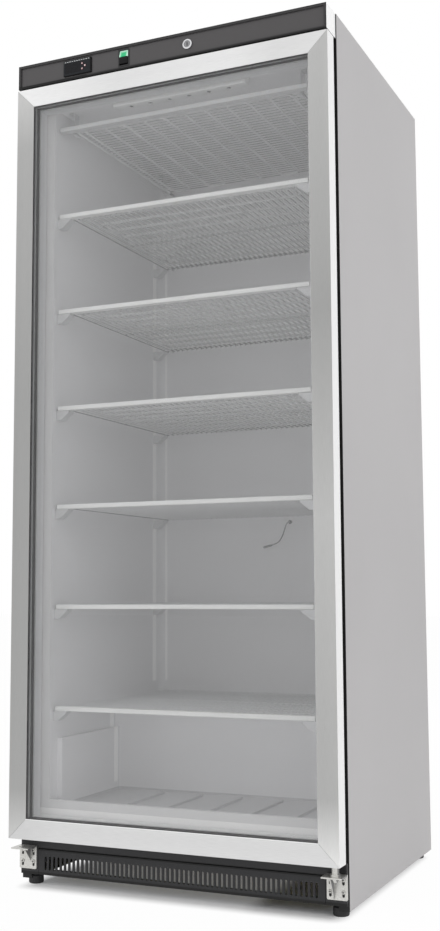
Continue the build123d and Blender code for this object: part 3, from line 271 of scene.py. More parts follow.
# finishes
finishSetup = {
    "sidePaint": dict(
        colour=tone(182, 180, 181), rough=0.42, fleck=0.0012, depth=0.000012, shift=0.015, cloud=0.5),
    "canopyPaint": dict(colour=tone(255, 255, 255), rough=0.38, fleck=0.0012, depth=0.000008, shift=0.015),
    "galvanisedSheet": dict(
        colour=tone(168, 171, 174), rough=0.45, metal=0.85, fleck=0.011, shift=0.12, depth=0.000004),
    "charcoalPaint": dict(colour=tone(33, 33, 35), rough=0.55, fleck=0.0009, depth=0.00003, shift=0.12),
    "rawPlastic": dict(colour=tone(34, 34, 36), rough=0.42, fleck=0.0006, depth=0.00001, shift=0.15),
    "paleFramePlastic": dict(colour=tone(218, 219, 221), rough=0.45, fleck=0.0008, shift=0.03),
    "linerPlastic": dict(
        colour=tone(243, 243, 245), rough=0.38, fleck=0.004, depth=0.00002, shift=0.012, cloud=0.4),
    "shelfCoat": dict(colour=tone(238, 239, 240), rough=0.35, fleck=0.0015, shift=0.03, coat=0.2),
    # painted shade: darker copies of the shelf coat, for the undersides and for the tubes
    "shelfShade": dict(colour=tone(150, 151, 152), rough=0.45, fleck=0.0015, shift=0.06),
    "tubeShade": dict(colour=tone(206, 207, 208), rough=0.45, fleck=0.0015, shift=0.06),
    "clipPlastic": dict(colour=tone(210, 211, 213), rough=0.4, fleck=0.001, shift=0.03),
    "whiteMoulding": dict(colour=tone(249, 250, 249), rough=0.35, fleck=0.001, shift=0.02),
    "sealRubber": dict(colour=tone(16, 16, 17), rough=0.62, fleck=0.0012, depth=0.00003, shift=0.12),
    "footRubber": dict(colour=tone(33, 33, 34), rough=0.6, fleck=0.0008, depth=0.00003, shift=0.15),
    "zincSteel": dict(
        colour=tone(214, 213, 209), rough=0.36, metal=0.7, fleck=0.003, shift=0.14, depth=0.000006),
    "lockChrome": dict(
        colour=tone(222, 222, 224), rough=0.12, metal=1.0, fleck=0.002, shift=0.05, roughShift=0.05,
        depth=0.000001),
    "lockPlug": dict(
        colour=tone(146, 146, 148), rough=0.25, metal=1.0, fleck=0.002, shift=0.1, depth=0.000002),
    "keyPlastic": dict(colour=tone(78, 22, 33), rough=0.4, fleck=0.0004, shift=0.1, depth=0.000004),
    "rockerBlack": dict(
        colour=tone(15, 15, 16), rough=0.45, fleck=0.0005, shift=0.12, depth=0.000004, specular=0.2),
    "hermeticBlack": dict(
        colour=tone(30, 30, 31), rough=0.35, fleck=0.002, depth=0.00005, shift=0.1, coat=0.2),
    "copperTube": dict(
        colour=tone(198, 128, 96), rough=0.3, metal=1.0, fleck=0.006, shift=0.2, depth=0.000006),
    "finAluminium": dict(colour=tone(190, 192, 194), rough=0.4, metal=0.9, fleck=0.004, shift=0.1),
    "foamBlock": dict(colour=tone(226, 214, 170), rough=0.9, fleck=0.003, depth=0.0002, shift=0.1),
    "bearingPlastic": dict(colour=tone(214, 213, 206), rough=0.5, fleck=0.0008, shift=0.04),
    "sensorSleeve": dict(colour=tone(112, 113, 115), rough=0.5, fleck=0.0006, shift=0.12),
    "keyMark": dict(colour=tone(246, 222, 222), rough=0.5, fleck=0.0003, shift=0.1, depth=0.000002),
    # painted shade: near black inside the screws' cross recesses
    "recess": dict(colour=tone(12, 12, 12), rough=0.6, fleck=0.0004, shift=0.2),
    "spacerBar": dict(colour=tone(150, 151, 152), rough=0.4, metal=0.5, fleck=0.002, shift=0.1),
    "displayPlastic": dict(colour=tone(36, 38, 41), rough=0.4, fleck=0.0005, shift=0.1, specular=0.15),
    "lampLens": dict(colour=tone(56, 58, 57), rough=0.2, fleck=0.0008, shift=0.2, coat=0.6),
}
finishes = {name: surface(name, **setup) for name, setup in finishSetup.items()}

brushSetup = {
    # along is the line that the shading follows from start to start + reach,
    # and second is where the second bar's shading holds
    "upright": {
        "colour": tone(203, 203, 202), "stretch": (1, 1, 0.02), "bars": ("left", "right"),
        "along": "Z", "start": 0.0, "reach": 2.0, "second": ("X", 0.0)},
    "level": {
        "colour": tone(238, 238, 238), "stretch": (0.02, 1, 1), "bars": ("bottom", "top"),
        "along": "X", "start": -0.4, "reach": 0.8, "second": ("Z", 1.0)},
    # place along the bar and share of the colour: painted shade and highlight, as the studio light falls on
    # the bars
    "left": [(0.12, 1.02), (0.22, 0.69), (1.10, 0.67), (1.60, 0.76), (1.70, 0.79), (1.82, 1.04)],
    "right": [(0.12, 1.35), (0.24, 0.79), (0.40, 0.82), (0.80, 0.95), (1.24, 0.69), (1.80, 0.90)],
    "bottom": [(-0.36, 0.79), (-0.26, 0.85), (0.36, 0.86)],
    "top": [
        (-0.36, 1.09), (-0.24, 1.03), (-0.12, 0.94), (0.06, 0.99), (0.17, 1.0), (0.27, 0.90), (0.36, 0.92)],
    "line": 0.0005,  # width of one brush line
    "band": 0.035,  # and of one broader streak
    "rough": 0.34,
    "depth": 0.000003,
}


def brushedMetal(name, way):
    # lines run along the bar, finer ones over broader ones
    mat, tree, shader = startMaterial(name)
    bar, rough = brushSetup[way], brushSetup["rough"]
    lines = flecks(tree, brushSetup["line"], 6.0, bar["stretch"])
    bands = flecks(tree, brushSetup["band"], 2.0, bar["stretch"])
    fine = colourBetween(tree, lines, dim(bar["colour"], 0.93), dim(bar["colour"], 1.04))
    broad = colourBetween(tree, bands, grey(0.97), grey(1))
    # painted shade and highlight along each bar, from the tables above
    shades = [
        shadeAlong(tree, bar["along"], brushSetup[side], bar["start"], bar["reach"]) for side in bar["bars"]]
    shade = mix(tree, within(tree, *bar["second"]), *shades)
    tree.links.new(multiply(tree, multiply(tree, fine, broad), shade), shader.inputs["Base Color"])
    tree.links.new(valueBetween(tree, lines, rough - 0.06, rough + 0.1), shader.inputs["Roughness"])
    shader.inputs["Metallic"].default_value = 1.0
    addBump(tree, shader, lines, brushSetup["depth"])
    return mat


finishes["brushedUpright"] = brushedMetal("brushedUpright", "upright")
finishes["brushedLevel"] = brushedMetal("brushedLevel", "level")

fasciaSetup = {
    "face": tone(76, 74, 75),
    "lip": tone(42, 41, 42),
    "stepAt": -0.3545,  # the lip stands before this depth
    "stepBlur": 0.0002,
    "fleck": 0.0009,
    "depth": 0.00003,
    "rough": 0.42,
}


def fasciaMaterial():
    mat, tree, shader = startMaterial("fasciaPlastic")
    grain = flecks(tree, fasciaSetup["fleck"], 5.0)
    edge, blur, rough = fasciaSetup["stepAt"], fasciaSetup["stepBlur"], fasciaSetup["rough"]
    behind = valueBetween(tree, placeAlong(tree, "Y"), 0, 1, edge - blur, edge + blur)
    part = colourBetween(tree, behind, fasciaSetup["lip"], fasciaSetup["face"], 0.4, 0.6)
    fine = colourBetween(tree, grain, grey(0.88), grey(1.05))
    tree.links.new(multiply(tree, part, fine), shader.inputs["Base Color"])
    tree.links.new(valueBetween(tree, grain, rough - 0.06, rough + 0.08), shader.inputs["Roughness"])
    addBump(tree, shader, grain, fasciaSetup["depth"])
    return mat


finishes["fasciaPlastic"] = fasciaMaterial()

# parts of a finish with another colour: the finish, places that must all hold, the colour,
# its roughness and, where it has one, its glow
bright = tone(255, 255, 255)
patchSetup = [
    ("brushedUpright", [("|X|", 0.3881, None)], tone(243, 243, 243), 0.4),  # outer edge of the door, painted pale for its bright reflection
    ("brushedLevel", [("Z", 0.1534, 0.1552)], bright, 0.4),  # painted highlight along the upper rim of the bottom rail
    ("sidePaint", [("Y", None, -0.2952)], tone(8, 8, 8), 0.6),  # front edge, painted black for the seal's shadow
    ("canopyPaint", [("Y", None, -0.3553)], tone(30, 30, 30), 0.5),  # front rim
    ("canopyPaint", [("Z", None, 1.8470)], tone(8, 8, 8), 0.6),  # underside, painted black for the shadow in the gap over the door
    ("fasciaPlastic", [("Z", None, 1.8495)], tone(7, 7, 7), 0.7),  # painted shadow in the gap over the door
    # painted shadow in that gap, wider at the left end
    ("fasciaPlastic", [("Z", None, 1.8530), ("X", None, -0.20)], tone(9, 9, 9), 0.7),
    # painted shadow of the seal on the wall and ledge round it, at the sides, below and above
    ("paleFramePlastic", [("Y", -0.3158, None), ("|X|", 0.3525, None)], tone(14, 14, 15), 0.6),
    ("paleFramePlastic", [("Y", -0.3158, None), ("Z", None, 0.1475)], tone(14, 14, 15), 0.6),
    ("paleFramePlastic", [("Y", -0.3158, None), ("Z", 1.8055, None)], tone(14, 14, 15), 0.6),
    ("paleFramePlastic", [("Z", 0.1564, 0.1576), ("|X|", None, 0.3430)], tone(250, 250, 250), 0.5),  # painted highlight along the sill
    ("linerPlastic", [("Y", -0.2350, None), ("Z", None, 0.1765)], tone(208, 208, 210), 0.5),  # floor, painted darker as shade away from the door
    ("linerPlastic", [("Y", None, -0.2950)], tone(226, 226, 227), 0.5),  # front flange
    ("linerPlastic", [("Y", None, -0.2350), ("Z", None, 0.1712)], tone(254, 254, 254), 0.5),  # painted light on the sill near the door
    # painted highlights, with a faint glow, along the rear corners and along the step's ends
    ("linerPlastic", [("|X|", 0.30, None), ("Y", 0.2140, 0.2350), ("Z", 0.42, 1.62)], bright, 0.3, 0.04),
    ("linerPlastic", [("|X|", 0.3020, 0.3070), ("Y", 0.25, None), ("Z", 0.42, 1.62)], bright, 0.3, 0.02),
    ("linerPlastic", [("|X|", 0.30, None), ("Y", -0.0160, 0.0040), ("Z", 0.19, 0.37)], bright, 0.3, 0.04),
    ("shelfCoat", [("|X|", 0.2872, None), ("Z", 0.5, None)], tone(118, 119, 120), 0.5),  # outer wires, painted dark for the shadow along the mat's edge
    ("shelfCoat", [("Y", 0.2400, None), ("Z", 0.5, None)], tone(92, 93, 94), 0.5),  # rear cross wires, painted dark for the shadow at the mat's rear
    ("shelfCoat", [("Y", None, -0.2588), ("Z", 0.5, 1.7)], tone(140, 141, 142), 0.5),  # painted shadow in the gap behind the trim
    ("whiteMoulding", [("Z", 1.7520, 1.7700)], tone(208, 209, 210), 0.4),  # trim of the ceiling
    ("whiteMoulding", [("Z", 1.7701, None)], tone(232, 233, 233), 0.35),  # light bar
    ("spacerBar", [("Y", -0.3400, None)], tone(12, 12, 13), 0.5),  # rear bar
    ("spacerBar", [("Y", None, -0.3482)], tone(56, 56, 57), 0.5),  # sealant behind the front pane, darkened also as the painted shadow of the frame's lip
    ("spacerBar", [("Z", None, 0.1565)], tone(12, 12, 13), 0.5),  # bottom bars
    ("displayPlastic", [("Y", -0.3545, None)], tone(8, 8, 8), 0.5),  # sides of the bezel, painted black as their shade
    ("displayPlastic", [("Z", None, 1.8578)], tone(6, 6, 6), 0.5),  # its lower rim, painted black as shade
    ("displayPlastic", [("X", None, -0.2627)], tone(6, 6, 6), 0.5),  # its left rim, painted black as shade
    ("displayPlastic", [("X", -0.1919, None)], tone(10, 10, 10), 0.5),  # its right rim, painted black as shade
    ("charcoalPaint", [("Z", 0.0785, 0.0850)], tone(3, 3, 3), 0.7),  # joint over the grille, painted black wider than the gap, as its shadow
    ("charcoalPaint", [("Z", None, 0.0310)], tone(8, 8, 8), 0.7),  # lower lip
    ("zincSteel", [("nX", 0.8, None), ("Y", None, -0.3102)], tone(118, 118, 118), 0.4),  # gussets' faces turned to the right, painted darker as shade
]
for name, limits, *look in patchSetup:
    tree = finishes[name].node_tree
    repaint(finishes[name], allOf(tree, [within(tree, *limit) for limit in limits]), *look)

barSetup = {
    "first": -0.2601,  # left end of the first bar on the bezel
    "count": 11,
    "pitch": 0.0062,
    "width": 0.0040,
    "heights": (1.8892, 1.8908),
    "colour": tone(206, 208, 208),
}


def addBars():
    # plain pale bars along the bezel's upper edge
    mat = finishes["displayPlastic"]
    tree = mat.node_tree
    first, pitch = barSetup["first"], barSetup["pitch"]
    along = calculate(tree, "WRAP", placeAlong(tree, "X"), first + pitch, first)
    masks = [
        calculate(tree, "LESS_THAN", along, first + barSetup["width"]),
        within(tree, "Z", *barSetup["heights"]),
        within(tree, "X", first, first + barSetup["count"] * pitch),
        within(tree, "nY", None, -0.9),  # only faces that look forward
    ]
    repaint(mat, allOf(tree, masks), barSetup["colour"])


addBars()

glassSetup = {
    "tint": tone(253, 253, 253),
    "mirror": 1.65,  # stands for both faces of a pane
    "smear": 0.02,
    "smearSize": 0.09,
}


def paneMaterial():
    # clear sheet: straight through, with a reflection on the face that is met first
    mat, tree, shader = startMaterial("paneGlass")
    tree.nodes.remove(shader)
    through = tree.nodes.new("ShaderNodeBsdfTransparent")
    through.inputs["Color"].default_value = glassSetup["tint"]
    shine = tree.nodes.new("ShaderNodeBsdfGlossy")
    shine.inputs["Color"].default_value = (1, 1, 1, 1)
    smears = flecks(tree, glassSetup["smearSize"], 3.0, (1, 1, 0.4))
    tree.links.new(valueBetween(tree, smears, 0.0, glassSetup["smear"]), shine.inputs["Roughness"])
    glance = tree.nodes.new("ShaderNodeFresnel")
    glance.inputs["IOR"].default_value = glassSetup["mirror"]
    side = tree.nodes.new("ShaderNodeNewGeometry")
    front = calculate(tree, "SUBTRACT", 1.0, side.outputs["Backfacing"])
    mixShaders(tree, calculate(tree, "MULTIPLY", glance.outputs["Fac"], front), through, shine)
    return mat


finishes["paneGlass"] = paneMaterial()

windowSetup = {
    "dark": tone(16, 16, 19),
    "pale": tone(24, 24, 28),
    "fleck": 0.004,
    "rough": (0.1, 0.18),
    "specular": 0.2,
}


def smokedWindow():
    mat, tree, shader = startMaterial("smokedWindow")
    grain = flecks(tree, windowSetup["fleck"], 3.0)
    colour = colourBetween(tree, grain, windowSetup["dark"], windowSetup["pale"])
    tree.links.new(colour, shader.inputs["Base Color"])
    tree.links.new(valueBetween(tree, grain, *windowSetup["rough"]), shader.inputs["Roughness"])
    shader.inputs["Specular IOR Level"].default_value = windowSetup["specular"]
    return mat


finishes["smokedWindow"] = smokedWindow()

lensSetup = {
    "core": tone(34, 170, 112),
    "rim": tone(214, 244, 230),
    "glow": 0.35,
    "ends": (0.45, 0.95),  # shares of the half width between which the painted highlight turns it pale
    "top": (0.006, 0.0005),  # and distances from its upper end
    "fleck": 0.0008,
    "rough": (0.14, 0.24),
}


def rockerLens():
    # green lens, with a painted highlight that turns it paler towards its ends
    mat, tree, shader = startMaterial("rockerLens")
    low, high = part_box("switch_rocker")
    middle, half = (low.x + high.x) / 2, (high.x - low.x) / 2
    away = calculate(tree, "ABSOLUTE", calculate(tree, "SUBTRACT", placeAlong(tree, "X"), middle))
    across = valueBetween(tree, away, 0, 1, *(half * share for share in lensSetup["ends"]))
    upward = valueBetween(tree, placeAlong(tree, "Z"), 0, 1, *(high.z - drop for drop in lensSetup["top"]))
    paintedHighlight = calculate(tree, "MAXIMUM", across, upward)
    colour = colourBetween(tree, paintedHighlight, lensSetup["core"], lensSetup["rim"], 0.0, 1.0)
    tree.links.new(colour, shader.inputs["Base Color"])
    # painted light: the lens glows, its pale highlight too
    tree.links.new(colour, shader.inputs["Emission Color"])
    shader.inputs["Emission Strength"].default_value = lensSetup["glow"]
    grain = flecks(tree, lensSetup["fleck"], 3.0)
    tree.links.new(valueBetween(tree, grain, *lensSetup["rough"]), shader.inputs["Roughness"])
    return mat


finishes["rockerLens"] = rockerLens()
print("finishes made:", len(finishes))


# mesh tools
def finishPiece(name, mesh, body, finish, covers=(), sharp=35):
    for face in mesh.faces:
        face.smooth = True
    bmesh.ops.recalc_face_normals(mesh, faces=mesh.faces)
    data = bpy.data.meshes.new(name)
    mesh.to_mesh(data)
    mesh.free()
    data.set_sharp_from_angle(angle=math.radians(sharp))
    for one in [finish] if isinstance(finish, str) else finish:
        data.materials.append(finishes[one])
    piece = bpy.data.objects.new(name, data)
    bpy.context.scene.collection.objects.link(piece)
    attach(piece, body)
    if covers:
        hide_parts(*covers)
    return piece


def ringOf(mesh, centre, across, upward, radius, sides):
    turns = [2 * math.pi * n / sides for n in range(sides)]
    return [mesh.verts.new(centre + (across * math.cos(t) + upward * math.sin(t)) * radius) for t in turns]


def bridge(mesh, first, second):
    made = []
    for n in range(max(len(first), len(second))):
        if len(first) == 1:
            corners = (first[0], second[n], second[(n + 1) % len(second)])
        elif len(second) == 1:
            corners = (first[n], first[(n + 1) % len(first)], second[0])
        else:
            m = (n + 1) % len(first)
            corners = (first[n], first[m], second[m], second[n])
        made.append(mesh.faces.new(corners))
    return made


def addTube(mesh, path, radius, sides=10):
    rings = []
    for n, spot in enumerate(path):
        way = (path[min(n + 1, len(path) - 1)] - path[max(n - 1, 0)]).normalized()
        guide = Vector((0, 0, 1)) if abs(way.z) < 0.9 else Vector((1, 0, 0))
        across = way.cross(guide).normalized()
        rings.append(ringOf(mesh, spot, across, way.cross(across), radius, sides))
    for first, second in zip(rings, rings[1:]):
        bridge(mesh, first, second)
    mesh.faces.new(rings[0])
    mesh.faces.new(rings[-1])


def bentPath(corners, radius, steps=6):
    # straight runs joined by arcs; the radius is one number or one for each bend
    corners = [Vector(corner) for corner in corners]
    path = [corners[0]]
    for n in range(1, len(corners) - 1):
        bend = radius[n - 1] if isinstance(radius, list) else radius
        back = (corners[n - 1] - corners[n]).normalized()
        on = (corners[n + 1] - corners[n]).normalized()
        half = back.angle(on) / 2
        centre = corners[n] + (back + on).normalized() * bend / math.sin(half)
        start = corners[n] + back * bend / math.tan(half) - centre
        end = corners[n] + on * bend / math.tan(half) - centre
        first, last = start.normalized(), end.normalized()
        path += [centre + first.slerp(last, k / steps) * start.length for k in range(steps + 1)]
    return path + [corners[-1]]


def spin(mesh, profile, origin, toward, sides=32):
    # turns (radius, distance) pairs round the line that leaves origin towards toward
    turn = Vector(toward).to_track_quat("Z", "Y")
    across, upward, along = (turn @ Vector(axis) for axis in ((1, 0, 0), (0, 1, 0), (0, 0, 1)))
    origin = Vector(origin)
    rings = []
    for radius, distance in profile:
        spot = origin + along * distance
        ring = ringOf(mesh, spot, across, upward, radius, sides) if radius else [mesh.verts.new(spot)]
        rings.append(ring)
    for first, second in zip(rings, rings[1:]):
        bridge(mesh, first, second)
    for ring in (rings[0], rings[-1]):
        if len(ring) > 1:
            mesh.faces.new(ring)


def addWire(mesh, start, end, radius):
    addTube(mesh, [Vector(start), Vector(end)], radius, 6)


def addBlock(mesh, low, high):
    for vert in bmesh.ops.create_cube(mesh, size=1.0)["verts"]:
        vert.co = Vector([low[n] if vert.co[n] < 0 else high[n] for n in range(3)])


def sweepFrame(mesh, section, half, low, high):
    # runs a closed section of (inset, depth) pairs round a rectangle, with mitred corners
    rings = []
    for side, top in ((-1, False), (1, False), (1, True), (-1, True)):
        rings.append([
            mesh.verts.new((side * (half - inset), depth, high - inset if top else low + inset))
            for inset, depth in section])
    for first, second in zip(rings, rings[1:] + rings[:1]):
        bridge(mesh, first, second)


# sensor lead
leadSetup = {
    "route": [
        (0.057, 0.2592, 0.836), (0.057, 0.244, 0.835), (0.0555, 0.2335, 0.824), (0.051, 0.231, 0.807),
        (0.043, 0.233, 0.791), (0.030, 0.238, 0.7795), (0.013, 0.240, 0.7755)],
    "radius": 0.0016,
    "length": 0.099,
}


def makeLead():
    curve = bpy.data.curves.new("sensorLead", "CURVE")
    curve.dimensions = "3D"
    curve.bevel_depth = leadSetup["radius"]
    curve.bevel_resolution = 4
    curve.resolution_u = 12
    curve.use_fill_caps = True
    spline = curve.splines.new("NURBS")
    spline.points.add(len(leadSetup["route"]) - 1)
    for point, spot in zip(spline.points, leadSetup["route"]):
        point.co = (*spot, 1)
    spline.order_u = 3
    spline.use_endpoint_u = True
    curve.materials.append(finishes["sensorSleeve"])
    lead = bpy.data.objects.new("sensorLead", curve)
    bpy.context.scene.collection.objects.link(lead)
    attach(lead, "cabinet")
    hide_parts("sensor_lead")


makeLead()
print("sensor lead made")


# carried-over pieces
carriedSetup = {
    "sidePaint": ["left_side_panel", "right_side_panel", "top_panel"],
    "galvanisedSheet": ["back_panel", "rear_vent_cover", "base_pan", "fan_shroud"],
    "canopyPaint": ["canopy_shell"],
    "charcoalPaint": ["base_front_frame", "vent_grille"],
    "fasciaPlastic": ["canopy_fascia"],
    "linerPlastic": ["inner_liner"],
    "foamBlock": ["foam_insulation"],
    "zincSteel": ["hinge_bracket_left", "hinge_bracket_right", "lower_hinge_pin", "top_hinge_plate"],
    "rawPlastic": ["switch_frame", "sensor_grommet", "cable_gland", "fan_blade"],
    "displayPlastic": ["thermostat_case"],
    "spacerBar": ["glass_spacers"],
    "smokedWindow": ["thermostat_window"],
    "lockChrome": ["lock_barrel"],
    "lockPlug": ["lock_plug"],
    "brushedUpright": ["door_left_stile", "door_right_stile"],
    "brushedLevel": ["door_top_rail", "door_bottom_rail"],
    "bearingPlastic": ["door_bushes"],
    "paneGlass": ["front_pane", "middle_pane", "rear_pane"],
    "paleFramePlastic": ["inner_door_frame"],
    "whiteMoulding": ["shelf_trims", "led_bar"],
    "clipPlastic": ["evaporator_brackets"],
    "sensorSleeve": ["sensor_bulb"],
    "hermeticBlack": ["compressor", "fan_motor"],
    "footRubber": ["compressor_mounts"],
    "finAluminium": ["condenser"],
    "copperTube": ["filter_dryer", "refrigerant_lines"],
}
edgeSetup = {
    "join": 0.00002,  # corners of the mesh this close are one
    "sharp": 40,  # degrees
    "widths": [
        (0.0006, ["door_left_stile", "door_right_stile", "door_top_rail", "door_bottom_rail"]),
        (0.0005, ["hinge_bracket_left", "hinge_bracket_right", "top_hinge_plate"]),
        (0.0008, ["thermostat_case", "switch_frame", "base_front_frame"]),
        (0.0012, ["shelf_trims", "evaporator_brackets"]),
        (0.0070, ["led_bar"]),
    ],
}


def dress(name, finish):
    for holder in nodes[name].material_slots:
        holder.link = "OBJECT"
        holder.material = finishes[finish]


def roundEdges(name, width):
    # joins the mesh's split corners, then rounds its sharp edges
    piece = nodes[name]
    weld = piece.modifiers.new("join", "WELD")
    weld.merge_threshold = edgeSetup["join"]
    bevel = piece.modifiers.new("edges", "BEVEL")
    bevel.width, bevel.segments = width, 2
    bevel.limit_method, bevel.angle_limit = "ANGLE", math.radians(edgeSetup["sharp"])
    bevel.use_clamp_overlap = True
    bevel.harden_normals = False
    bevel.loop_slide = False  # a sliding corner would stand out of the bar's end
    shade = piece.modifiers.new("shade", "WEIGHTED_NORMAL")
    shade.keep_sharp = True


for finish, names in carriedSetup.items():
    for name in names:
        dress(name, finish)
for width, names in edgeSetup["widths"]:
    for name in names:
        roundEdges(name, width)
print("carried-over pieces dressed")


# wire shelves
shelfSetup = {
    "half": 0.290,
    "front": -0.2637,
    "back": 0.244,
    "wireRadius": 0.0012,
    "wires": 40,
    "crossRadius": 0.0015,
    "tubeRadius": 0.0031,
    "reach": 0.0038,  # a mat's wires from the shelf's middle
    "crossInset": 0.0022,  # from the mat's wires to its cross wires
    "crossShift": 0.012,  # the middle cross wire, behind the middle
    "shadeFrom": 0.0030,  # below the shelf's middle
    "firstPass": -0.2477,
    "passPitch": 0.056,
    "passes": 9,
    "bend": 0.025,
    "feed": -0.282,
    "left": -0.262,
    "right": 0.270,
    "wall": 0.2637,
}


def shelfTube(level):
    feed, left, right = shelfSetup["feed"], shelfSetup["left"], shelfSetup["right"]
    corners = [(feed, shelfSetup["wall"], level), (feed, shelfSetup["firstPass"], level)]
    for n in range(shelfSetup["passes"]):
        y = shelfSetup["firstPass"] + n * shelfSetup["passPitch"]
        start, end = (left, right) if n % 2 == 0 else (right, left)
        corners += [(start, y, level), (end, y, level)] if n else [(end, y, level)]
    corners.append((right, shelfSetup["wall"], level))
    return bentPath(corners, shelfSetup["bend"])


def shadeUnder(mesh, level):
    # painted shade: undersides above a level take the darker shelfShade finish, as they lie in the shade of
    # what is below them
    bmesh.ops.recalc_face_normals(mesh, faces=mesh.faces)
    for face in mesh.faces:
        if face.material_index == 0 and face.normal.z < -0.1 and face.calc_center_median().z > level:
            face.material_index = 1


def makeShelf(number):
    low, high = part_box(f"evaporator_shelf_{number}")
    level = (low.z + high.z) / 2
    half, front, back = shelfSetup["half"], shelfSetup["front"], shelfSetup["back"]
    wire, cross = shelfSetup["wireRadius"], shelfSetup["crossRadius"]
    mesh = bmesh.new()
    addTube(mesh, shelfTube(level), shelfSetup["tubeRadius"])
    # the tubes take the tubeShade finish, a painted shade
    for face in mesh.faces:
        face.material_index = 2
    pitch = 2 * (half - wire) / shelfSetup["wires"]
    for side in (-1, 1):
        z = level + side * shelfSetup["reach"]
        for n in range(shelfSetup["wires"] + 1):
            x = wire - half + n * pitch
            addWire(mesh, (x, front, z), (x, back, z), wire)
        z -= side * shelfSetup["crossInset"]
        for y in (front + cross, (front + back) / 2 + shelfSetup["crossShift"], back - cross):
            addWire(mesh, (-half, y, z), (half, y, z), cross)
    if number > 2:
        shadeUnder(mesh, level - shelfSetup["shadeFrom"])
    finishPiece(
        f"wireShelf{number}", mesh, "cabinet", ["shelfCoat", "shelfShade", "tubeShade"],
        [f"evaporator_shelf_{number}"])


for number in range(1, 7):
    makeShelf(number)

ceilingSetup = {
    "front": -0.2604,
    "pitch": 0.053,
    "passes": 11,
    "bend": 0.024,
    "feedGap": 0.018,
    "feedBend": 0.45,  # share of the gap
    "rear": 0.236,
    "wires": 34,
    "wireRadius": 0.0009,
    "wireLift": 0.0040,
    "crossRadius": 0.0014,
    "crossDrop": 0.0004,
    "inset": 0.0015,  # from the mat's edge to its outer wires
}


def makeCeiling():
    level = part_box("ceiling_evaporator")[0].z + shelfSetup["tubeRadius"]
    front, rear, wall = ceilingSetup["front"], ceilingSetup["rear"], shelfSetup["wall"]
    first = -ceilingSetup["pitch"] * (ceilingSetup["passes"] - 1) / 2
    feed = first - ceilingSetup["feedGap"]
    corners = [(feed, wall, level), (feed, front, level)]
    for n in range(ceilingSetup["passes"]):
        x = first + n * ceilingSetup["pitch"]
        start, end = (front, rear) if n % 2 == 0 else (rear, front)
        corners += [(x, start, level), (x, end, level)]
    corners[-1] = (corners[-1][0], wall, level)
    feedBend = ceilingSetup["feedBend"] * ceilingSetup["feedGap"]
    bends = [feedBend, feedBend] + [ceilingSetup["bend"]] * (len(corners) - 4)
    mesh = bmesh.new()
    addTube(mesh, bentPath(corners, bends), shelfSetup["tubeRadius"])
    half, inset = shelfSetup["half"], ceilingSetup["inset"]
    front, back = shelfSetup["front"] + inset, shelfSetup["back"]
    z = level + ceilingSetup["wireLift"]
    for n in range(ceilingSetup["wires"] + 1):
        y = front + (back - inset - front) * n / ceilingSetup["wires"]
        addWire(mesh, (-half, y, z), (half, y, z), ceilingSetup["wireRadius"])
    z -= ceilingSetup["crossDrop"]
    for x in (inset - half, 0.0, half - inset):
        addWire(mesh, (x, front, z), (x, back, z), ceilingSetup["crossRadius"])
    shadeUnder(mesh, level + shelfSetup["tubeRadius"])
    finishPiece(
        "ceilingCoil", mesh, "cabinet", ["shelfCoat", "shelfShade"], ["ceiling_evaporator"])


makeCeiling()
print("shelves made")


# door seal
sealSetup = {
    # inset from the door's edge and depth, round one rib of the gasket
    "section": [
        (0.0190, -0.3118), (0.0355, -0.3118), (0.0355, -0.3095), (0.0335, -0.3092), (0.0325, -0.3076),
        (0.0340, -0.3060), (0.0326, -0.3044), (0.0340, -0.3028), (0.0340, -0.2974), (0.0332, -0.2964),
        (0.0213, -0.2964), (0.0205, -0.2974), (0.0205, -0.3028), (0.0219, -0.3044), (0.0205, -0.3060),
        (0.0220, -0.3076), (0.0210, -0.3092), (0.0190, -0.3095)],
}


def makeSeal():
    low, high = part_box("door_left_stile")
    mesh = bmesh.new()
    sweepFrame(mesh, sealSetup["section"], -low.x, low.z, high.z)
    finishPiece("doorSeal", mesh, "door", "sealRubber", ["door_gasket"], sharp=50)


makeSeal()
print("door seal made")


# interior lamps
lampSetup = {
    "pitch": 0.050,
    "count": 6,
    "radius": 0.0085,
    "sink": 0.0014,
    # share of the radius and height, from the edge to the middle
    "dome": [(1, -0.0005), (1, 0), (0.92, 0.0006), (0.6, 0.0011), (0, 0.0013)],
    "sides": 24,
}


def makeLamps():
    low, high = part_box("led_bar")
    dome = [(lampSetup["radius"] * share, height) for share, height in lampSetup["dome"]]
    mesh = bmesh.new()
    for n in range(lampSetup["count"]):
        x = (n - (lampSetup["count"] - 1) / 2) * lampSetup["pitch"]
        spot = (x, (low.y + high.y) / 2, low.z + lampSetup["sink"])
        spin(mesh, dome, spot, (0, 0, -1), lampSetup["sides"])
    finishPiece("lampLenses", mesh, "cabinet", "lampLens")


makeLamps()
print("lamps made")


# rocker switch
rockerSetup = {
    "angle": -8.0,  # degrees, at rest
    "pivotDepth": 0.012,
    "face": 0.0096,  # before the pivot, at both ends
    "back": 0.004,  # behind the pivot, in the middle
    "backEnd": 0.001,  # and at the ends
    "flat": 0.6,  # share of the back that is flat
    "width": 0.0220,
    "half": 0.0164,  # half the height
    "gap": 0.0003,  # half the gap between lens and foot
    "round": 0.0009,
    "pinRadius": 0.0015,
    "pinEnd": 0.0012,  # beyond the rocker's side
}


